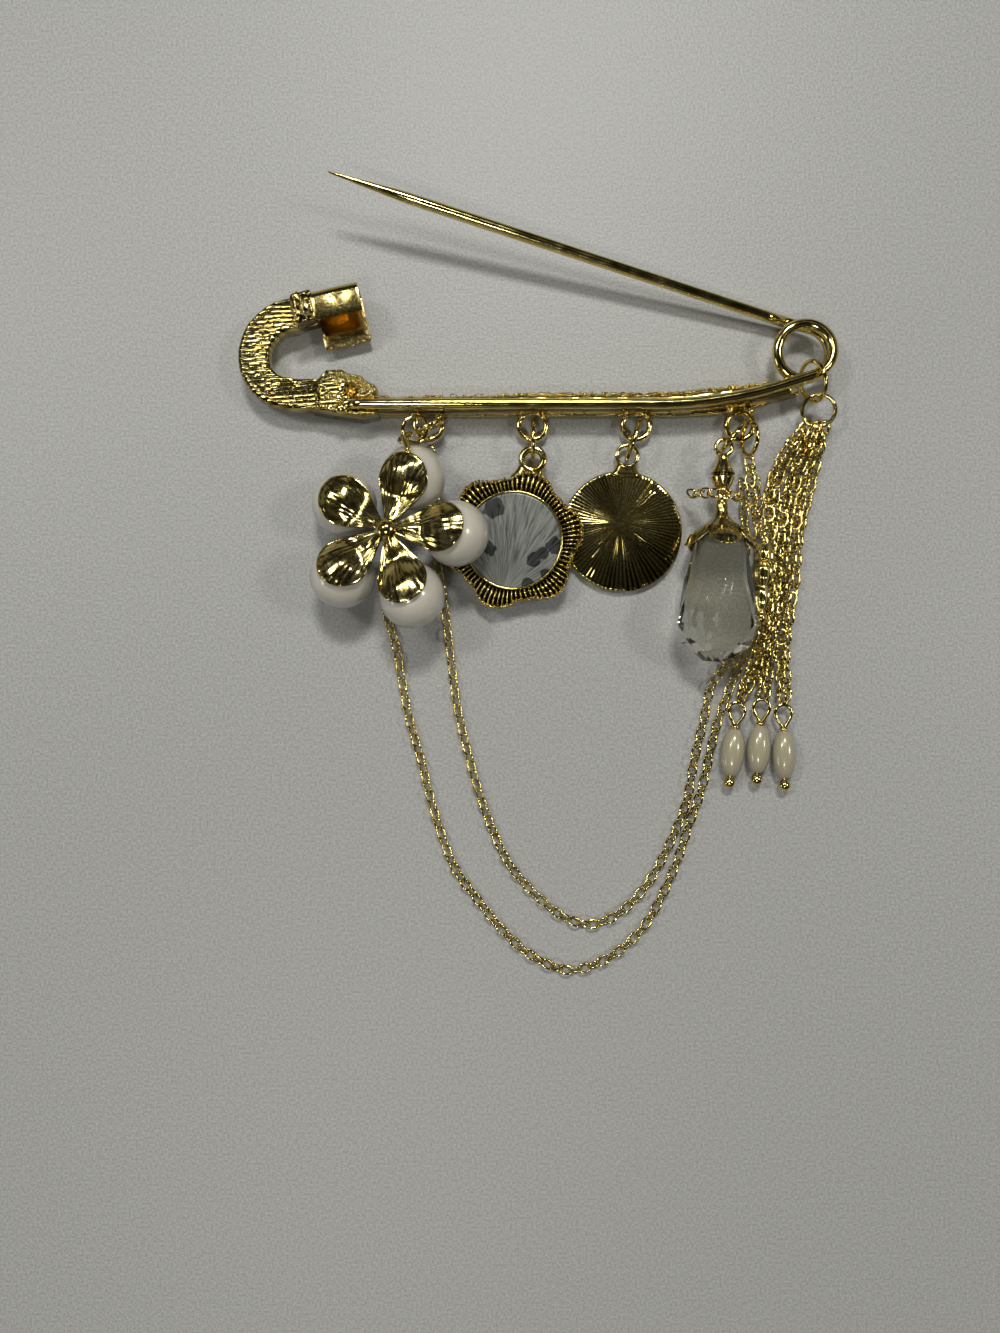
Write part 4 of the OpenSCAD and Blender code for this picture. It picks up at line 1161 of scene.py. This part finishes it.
class BROOCH_OT_lantern(bpy.types.Operator):
    """Small lantern charm with fluted domes"""

    bl_idname = "brooch.lantern"
    bl_label = "Lantern charm"

    def execute(self, context):
        sizes, look = context.scene.brooch_charms, context.scene.brooch_look
        casting = gold_casting(look, "gold_plated_lantern", skin=0.1)
        r, length = sizes.lantern_d / 2, sizes.lantern_l
        # Radius and place along it, in parts of its own radius and length
        rows = [
            (0.2, 0), (0.5, 0.01), (0.6, 0.04), (0.95, 0.1), (1, 0.16), (0.96, 0.215), (0.62, 0.235),
            (0.55, 0.255), (0.62, 0.275), (0.92, 0.3), (0.95, 0.36), (0.86, 0.44), (0.62, 0.5), (0.5, 0.53),
            (0.58, 0.56), (0.78, 0.6), (0.8, 0.68), (0.66, 0.76), (0.4, 0.82), (0.36, 0.86), (0.5, 0.9),
            (0.5, 0.95), (0.3, 0.995), (0.1, 1)]
        profile = curve_through([(a * r, b * length) for a, b in rows], 4)

        def flutes(row, a):
            return 1 - 0.1 * (0.5 - 0.5 * math.cos(9 * a)) * (0.1 < row < 0.86)

        points, faces = lathe(profile, 108, flutes)
        shape = Shape().add(aimed(points, LANTERN_TOP, LANTERN_FOOT - LANTERN_TOP), faces)
        shape.add(*ring_mesh(LANTERN_TOP + [0, 0.45, 0], X, 0.55, 0.16))
        shape.piece("lantern", casting, node="lantern_charm")
        return {"FINISHED"}


# Rings and chains


def node_points(name):
    """A CAD node's corners, in the photographed view, mm."""
    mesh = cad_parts[name].data
    places = np.empty(len(mesh.vertices) * 3)
    mesh.vertices.foreach_get("co", places)
    return places.reshape(-1, 3) / MM + VIEW_SHIFT


def loose_parts(name):
    """Corners of each loose solid of a node, by the faces that they share."""
    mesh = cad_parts[name].data
    points = node_points(name)
    keys = {}
    owner = [keys.setdefault(tuple(np.round(p, 4)), len(keys)) for p in points]
    parent = list(range(len(keys)))

    def root(i):
        while parent[i] != i:
            parent[i] = parent[parent[i]]
            i = parent[i]
        return i

    for edge in mesh.edges:
        a, b = (root(owner[v]) for v in edge.vertices)
        parent[a] = b
    groups = {}
    for k, p in zip(owner, points):
        groups.setdefault(root(k), []).append(p)
    return [np.array(g) for g in groups.values()]


def main_axes(points):
    """Middle of a solid's box in its own long, wide and thin directions, and those directions."""
    middle = points.mean(0)
    _, ways = np.linalg.eigh(np.cov((points - middle).T))
    ways = ways[:, ::-1].T
    spans = (points - middle) @ ways.T
    middle = middle + ways.T @ ((spans.max(0) + spans.min(0)) / 2)
    return middle, ways, spans.max(0) - spans.min(0)


def link_mesh(middle, long_way, wide_way, length, width, wire, sides=10, steps=22):
    """One oval chain link of round wire."""
    turn = all_round(steps)
    half = (length - width) / 2
    radius = (width - wire) / 2
    c = np.cos(turn)
    along = radius * c + np.sign(c) * half * (np.abs(c) > 1e-6)
    path = middle + along[:, None] * long_way + (radius * np.sin(turn))[:, None] * wide_way
    return tube(path, wire / 2, sides, True)


class BROOCH_OT_rings(bpy.types.Operator):
    """Jump rings, bent from wire; drawn as closed rings, without their fine cut"""

    bl_idname = "brooch.rings"
    bl_label = "Jump rings"

    def execute(self, context):
        sizes, look = context.scene.brooch_chains, context.scene.brooch_look
        wire = polished_wire(look, "gold_plated_brass_wire")
        names = ["flower_ring_1", "flower_ring_2", "medallion_ring", "disc_ring", "drop_ring", "chain_ring",
                 "tassel_ring_1", "tassel_ring_2"]
        for name in names:
            middle, ways, spans = main_axes(node_points(name))
            wire_r = sizes.ring_wire / 2
            ring = ring_mesh(middle, ways[2], (spans[0] + spans[1]) / 4 - wire_r, wire_r)
            Shape().add(*ring).piece(f"{name}_wire", wire, node=name)
        return {"FINISHED"}


class BROOCH_OT_chains(bpy.types.Operator):
    """Cable chain: the two swags, the tassel's strands and the short chains on the charms"""

    bl_idname = "brooch.chains"
    bl_label = "Chains"

    def execute(self, context):
        sizes, look = context.scene.brooch_chains, context.scene.brooch_look
        wire = polished_wire(look, "gold_plated_chain_wire")
        for name in ("outer_swag_chain", "inner_swag_chain"):
            shape = Shape()
            for part in loose_parts(name):
                middle, ways, spans = main_axes(part)
                shape.add(*link_mesh(middle, ways[0], ways[1], spans[0], spans[1], sizes.link_wire))
            shape.piece(f"{name}_links", wire, node=name)
        for name, route in STRANDS.items():
            tassel = name.startswith("tassel")
            more = sizes.tassel_more if tassel else 1
            shape = Shape()
            # The tassel's strands lie doubled, one run beside and over the other
            for across, over, start in ((-0.42, 0, 0), (0.42, 0.7, 0.5)) if tassel else ((0, 0, 0),):
                curve = curve_through(route)
                # How far the run has moved aside, which it does over a twelfth of its length at each end
                place = np.arange(len(curve))
                aside = np.minimum(1, np.minimum(place, place[::-1])[:, None] / (len(curve) / 12))
                ways = np.gradient(curve, axis=0)
                sides = np.cross(ways / np.linalg.norm(ways, axis=1)[:, None], Z)
                curve = curve + aside * (across * sides + over * Z)
                stops = spaced(curve, sizes.link_pitch)
                for k, (a, b) in enumerate(zip(stops, stops[1:])):
                    way = unit(b - a)
                    side = unit(np.cross(way, Z))
                    up = np.cross(side, way)
                    lean = math.radians((45 if k % 2 else -45) + 20 * math.sin(3.7 * k + 5 * across))
                    wide = math.cos(lean) * side + math.sin(lean) * up
                    shape.add(*link_mesh(
                        (a + b) / 2 + start * 0.3 * way, way, wide, sizes.link_l * more, sizes.link_w * more,
                        sizes.link_wire * more ** 1.5))
            shape.piece(f"{name}_links", wire, node=name)
        return {"FINISHED"}


class BROOCH_OT_rice_pearls(bpy.types.Operator):
    """Rice pearls on ball-ended eye pins"""

    bl_idname = "brooch.rice_pearls"
    bl_label = "Rice pearls"

    def execute(self, context):
        sizes, look = context.scene.brooch_chains, context.scene.brooch_look
        wire = polished_wire(look, "gold_plated_eye_pin")
        lacquer = pearl_coat(look, "pearl_lacquered_rice_bead", look.rice_body)
        half = sizes.rice_l / 2
        lean = np.linspace(0.12, math.pi - 0.12, 40)
        profile = np.stack([sizes.rice_d / 2 * np.sin(lean) ** 0.8, -half * np.cos(lean) / math.cos(0.12)], 1)
        # A collar of wire on the bead's top, and the pin's pear-shaped eye over it
        foot = half + 0.1
        collar = [(0.2, -0.05), (0.55, 0), (0.6, 0.15), (0.45, 0.35), (0.2, 0.4)]
        side = [(0.12, 0.2), (0.4, 0.75), (0.86, 1.5), (1.0, 2.2), (0.72, 2.9)]
        eye = side + [(0, 3.2)] + [(-x, up) for x, up in reversed(side)]
        for i, (x, y, turn) in enumerate(RICE_PEARLS):
            middle = np.array([x, y, sizes.rice_d / 2])

            def placed(points):
                return turned(points, Z, turn) + middle

            def laid(points):
                return placed(turned(points, X, -90))

            bead = Shape().put(lathe(profile, 56), laid)
            bead.piece(f"rice_bead_{i + 1}", lacquer, node=f"rice_pearl_{i + 1}")
            shape = Shape().put(tube([(0, -foot - 0.5, 0), (0, foot + 0.5, 0)], 0.33, 14), placed)
            shape.put(ball((0, -foot - 0.72, 0), 0.76, around=28), placed)
            shape.put(lathe([(r, foot + up) for r, up in collar], 24), laid)
            shape.put(tube(curve_through([(x, foot + up, 0) for x, up in eye], 5), 0.24, 14), placed)
            shape.piece(f"eye_pin_wire_{i + 1}", wire, node=f"eye_pin_{i + 1}")
        return {"FINISHED"}


# Stage


class BROOCH_OT_stage(bpy.types.Operator):
    """Pale worktop, soft light from above the pin and the camera over the brooch"""

    bl_idname = "brooch.stage"
    bl_label = "Stage"

    def light(self, name, at, power, size):
        data = bpy.data.lights.new(name, "AREA")
        data.energy = power
        data.shape = "RECTANGLE"
        data.size = size
        data.size_y = size * 0.6
        data.color = linear("#FFFEFA")[:3]
        lamp = bpy.data.objects.new(name, data)
        lamp.location = at
        lamp.rotation_euler = (-Vector(at)).to_track_quat("-Z", "Y").to_euler()
        bpy.context.scene.collection.objects.link(lamp)

    def execute(self, context):
        look, stage = context.scene.brooch_look, context.scene.brooch_stage
        mesh = bpy.data.meshes.new("worktop")
        reach = 1.2
        corners = [(x * reach, y * reach, 0) for x, y in ((-1, -1), (1, -1), (1, 1), (-1, 1))]
        mesh.from_pydata(corners, [], [(0, 1, 2, 3)])
        mesh.materials.append(pale_laminate(look))
        worktop = bpy.data.objects.new("worktop", mesh)
        context.scene.collection.objects.link(worktop)
        for name, at, share, size in (
                ("ceiling_panel_1", (0.02, 0.42, 0.68), 1.0, 0.16),
                ("ceiling_panel_2", (-0.42, 0.22, 0.62), 0.35, 0.12),
                ("ceiling_panel_3", (0.5, 0.05, 0.55), 0.3, 0.12),
                ("ceiling_panel_4", (-0.12, -0.36, 0.72), 0.3, 0.14),
                ("ceiling_panel_5", (-0.3, 0.3, 0.7), 0.12, 0.2),
                ("low_window", (-0.75, -0.25, 0.22), 0.12, 0.2)):
            self.light(name, at, stage.key_power * share, size)
        world = bpy.data.worlds.new("room")
        world.use_nodes = True
        context.scene.world = world
        tree = world.node_tree
        way = add_node(tree, "ShaderNodeTexCoord").outputs["Generated"]
        height = spread(tree, add_node(tree, "ShaderNodeSeparateXYZ", {"Vector": way}).outputs["Z"], 0.0, 1.0)
        walls = ramp(tree, height, [(0.0, "#9C9992"), (0.4, "#7B7871"), (0.7, "#55534E"), (0.9, "#302F2C")])
        # Dark patches round the table, which the metal mirrors
        blotch = add_node(tree, "ShaderNodeTexNoise", {"Vector": way, "Scale": 2.2, "Detail": 1.0})
        dark = ramp(tree, blotch.outputs["Fac"], [(0.46, 0.0), (0.5, 0.9)])
        room = tree.nodes["Background"].inputs
        room["Strength"].default_value = stage.room_light
        tree.links.new(blended(tree, dark, walls, linear("#0C0B0A")), room["Color"])
        data = bpy.data.cameras.new("camera")
        data.sensor_fit = "VERTICAL"
        data.sensor_height = 36
        data.lens = stage.lens
        data.clip_start = 0.005
        camera = bpy.data.objects.new("camera", data)
        camera.location = (-VIEW_SHIFT[0] * MM, -VIEW_SHIFT[1] * MM, stage.camera_height * MM)
        context.scene.collection.objects.link(camera)
        context.scene.camera = camera
        context.scene.view_settings.view_transform = "Standard"
        return {"FINISHED"}


# Sizes and colours that a user can change


def size_of(name, value, text, low, high):
    return bpy.props.FloatProperty(name=name, default=value, description=text, min=low, max=high)


def colour_of(name, value, text):
    return bpy.props.StringProperty(name=name, default=value, description=text + ", sRGB hex")


class BroochPin(bpy.types.PropertyGroup):
    wire_d: size_of("Wire", 1.35, "Thickness of the spring wire, mm", 1.2, 1.45)
    coil_d: size_of("Coil", 8.0, "Outside diameter of the coil, mm", 7.4, 8.6)
    needle_l: size_of("Needle", 59.0, "Length of the needle, mm", 57, 59.5)
    point_l: size_of("Point", 10.0, "Length of the ground point, mm", 6, 14)
    open_angle: size_of("Opening", 16.0, "Angle between the needle and the bar, degrees", 15, 18)
    rise_angle: size_of("Rise", 5.9, "Angle that the needle rises, degrees", 5.5, 6.5)
    flange_t: size_of("Flange", 1.5, "Thickness of the bar's flange, mm", 1.2, 1.5)
    ridge_w: size_of("Ridge width", 2.0, "Width of the bar's ridge, mm", 1.9, 2.2)
    ridge_t: size_of("Ridge height", 3.6, "Height of the bar's ridge, mm", 3.5, 3.7)
    loop_d: size_of("Loop", 4.2, "Outside diameter of a loop, mm", 4, 4.4)
    loop_wire: size_of("Loop metal", 0.75, "Thickness of a loop's metal, mm", 0.65, 0.85)
    head_t: size_of("Head metal", 3.9, "Thickness of the head's metal, mm", 3.4, 4)
    head_rib: size_of("Head ribs", 0.56, "Spacing of the head's cast ribs, mm", 0.4, 1)
    hood_l: size_of("Hood length", 5.8, "Length of the hood, mm", 5, 6.2)
    hood_w: size_of("Hood width", 4.0, "Width of the hood, mm", 3.8, 4.4)
    hood_h: size_of("Hood height", 5.9, "Height of the hood, mm", 5.8, 6.2)
    hood_wall: size_of("Hood wall", 0.65, "Wall of the hood, mm", 0.5, 0.8)


class BroochCharms(bpy.types.PropertyGroup):
    pearl_d: size_of("Pearl", 8.0, "Diameter of a round pearl, mm", 7.4, 8.2)
    flower_r: size_of("Flower", 7.8, "Distance from the flower's middle to a pearl's, mm", 7.6, 8)
    flower_tilt: size_of("Flower tilt", 14.0, "Angle of the flower to the surface, degrees", 12, 16)
    petal_w: size_of("Petal width", 6.1, "Width of a petal, mm", 5.4, 6.6)
    petal_t: size_of("Petal metal", 0.45, "Thickness of a petal, mm", 0.35, 0.6)
    petal_ribs: size_of("Petal ribs", 11.0, "Ribs on each half of a petal", 6, 14)
    lobe_reach: size_of("Medallion", 8.9, "Reach of the medallion's lobes, mm", 8.6, 9)
    lobe_r: size_of("Lobe", 3.2, "Radius of one lobe, mm", 2.8, 3.4)
    frame_r: size_of("Frame", 7.8, "Radius of the frame between its lobes, mm", 7.5, 8)
    window_r: size_of("Window", 6.05, "Radius of the window, mm", 5.6, 6.3)
    frame_t: size_of("Frame metal", 2.6, "Thickness of the medallion's frame, mm", 2.4, 2.8)
    frame_ribs: size_of("Frame ribs", 80.0, "Ribs round the medallion's frame", 80, 130)
    disc_d: size_of("Disc", 15.2, "Diameter of the round charm, mm", 14.6, 15.6)
    disc_mid: size_of("Disc middle", 1.3, "Thickness of the round charm's middle, mm", 1.1, 1.5)
    disc_ribs: size_of("Disc ribs", 84.0, "Ribs round the disc", 60, 110)
    crystal_w: size_of("Drop width", 10.2, "Width of the clear drop, mm", 9.6, 10.4)
    crystal_l: size_of("Drop length", 15.2, "Length of the clear drop, mm", 14.5, 15.6)
    crystal_sides: bpy.props.IntProperty(
        name="Facets", default=11, description="Facets round the clear drop", min=8, max=12)
    cap_w: size_of("Cap width", 9.0, "Width of the petal cap, mm", 8.6, 9.2)
    cap_l: size_of("Cap length", 6.6, "Length of the petal cap, mm", 6, 7)
    cap_ribs: size_of("Cap ribs", 40.0, "Ribs round the petal cap", 20, 60)
    barrel_d: size_of("Barrel", 3.0, "Diameter of the stem's barrel, mm", 2.6, 3.2)
    barrel_l: size_of("Barrel length", 4.6, "Length of the stem's barrel, mm", 4, 5)
    lantern_d: size_of("Lantern", 2.6, "Diameter of the lantern charm, mm", 2.3, 2.7)
    lantern_l: size_of("Lantern length", 10.0, "Length of the lantern charm, mm", 9, 10.5)


class BroochChains(bpy.types.PropertyGroup):
    ring_wire: size_of("Ring wire", 0.55, "Thickness of a jump ring's wire, mm", 0.45, 0.6)
    link_l: size_of("Link", 1.9, "Length of a link, mm", 1.88, 2)
    link_w: size_of("Link width", 1.45, "Width of a link, mm", 1.4, 1.5)
    link_wire: size_of("Link wire", 0.28, "Thickness of a link's wire, mm", 0.25, 0.29)
    link_pitch: size_of("Link pitch", 1.22, "Distance from link to link, mm", 1.1, 1.4)
    tassel_more: size_of("Tassel links", 1.2, "Size of the tassel's links beside the swags'", 1, 1.3)
    rice_d: size_of("Rice pearl", 3.0, "Diameter of a rice pearl, mm", 2.8, 3.1)
    rice_l: size_of("Rice pearl length", 6.0, "Length of a rice pearl, mm", 5.6, 6.2)


class BroochLook(bpy.types.PropertyGroup):
    gold_pale: colour_of("Pale gold", "#E6D592", "Plating where it is bright")
    gold_deep: colour_of("Deep gold", "#CFB96A", "Plating where it is richer")
    # Colour of the painted shade in fine furrows
    groove_shade_colour: colour_of("Groove", "#33290F", "Plating in fine grooves")
    # Colour of the painted amber shade in hollows and inside the hood and cap
    amber: colour_of("Amber", "#F2D890", "Plating deep in hollows")
    pearl_body: colour_of("Pearl", "#CFC9BC", "Body of the round pearls")
    # Painted shade on the pearls, towards their outline and at it
    pearl_edge_shade: colour_of("Pearl edge", "#A39C8F", "Round pearls towards their edge")
    pearl_rim_shade: colour_of("Pearl rim", "#7A7468", "Round pearls at their edge")
    rice_body: colour_of("Rice pearl", "#A49C83", "Body of the rice pearls")
    glue_white: colour_of("Glue", "#7C7F78", "Glue where it is thick")
    glue_dull: colour_of("Thin glue", "#51544E", "Glue where it is thin")
    # Near-black painted shade seen through the clear spots in the glue
    clear_spot_shade: colour_of("Clear resin", "#1B1D1A", "Clear spots in the glue")
    floor_pale: colour_of("Worktop", "#AEAEAB", "Worktop's pale grain")
    floor_dark: colour_of("Worktop grain", "#979794", "Worktop's dark grain")


class BroochStage(bpy.types.PropertyGroup):
    camera_height: size_of("Camera", 140.0, "Height of the camera over the worktop, mm", 120, 160)
    lens: size_of("Lens", 29.68, "Focal length on a 36 mm tall sensor, mm", 25, 35)
    key_power: size_of("Main light", 3.1, "Power of the main light, W", 1, 40)
    room_light: size_of("Room", 0.7, "Strength of the room's light", 0, 3)


OPERATORS = (
    BROOCH_OT_pin_wire, BROOCH_OT_cast_bar, BROOCH_OT_flower, BROOCH_OT_medallion, BROOCH_OT_disc,
    BROOCH_OT_drop, BROOCH_OT_lantern, BROOCH_OT_rings, BROOCH_OT_chains, BROOCH_OT_rice_pearls,
    BROOCH_OT_stage,
)


class BROOCH_PT_panel(bpy.types.Panel):
    """Lists the brooch's pieces"""

    bl_idname = "BROOCH_PT_panel"
    bl_label = "Safety pin brooch"
    bl_space_type = "VIEW_3D"
    bl_region_type = "UI"
    bl_category = "Brooch"

    def draw(self, context):
        for operator in OPERATORS:
            self.layout.operator(operator.bl_idname)


GROUPS = {"brooch_pin": BroochPin, "brooch_charms": BroochCharms, "brooch_chains": BroochChains,
          "brooch_look": BroochLook, "brooch_stage": BroochStage}


def register():
    for group in (*GROUPS.values(), *OPERATORS, BROOCH_PT_panel):
        bpy.utils.register_class(group)
    for name, group in GROUPS.items():
        setattr(bpy.types.Scene, name, bpy.props.PointerProperty(type=group))


def unregister():
    for name in GROUPS:
        delattr(bpy.types.Scene, name)
    for group in (BROOCH_PT_panel, *reversed(OPERATORS), *reversed(GROUPS.values())):
        bpy.utils.unregister_class(group)


def main():
    register()
    for operator in OPERATORS:
        group, name = operator.bl_idname.split(".")
        getattr(getattr(bpy.ops, group), name)()
    bpy.context.view_layer.update()


if __name__ == "__main__":
    main()
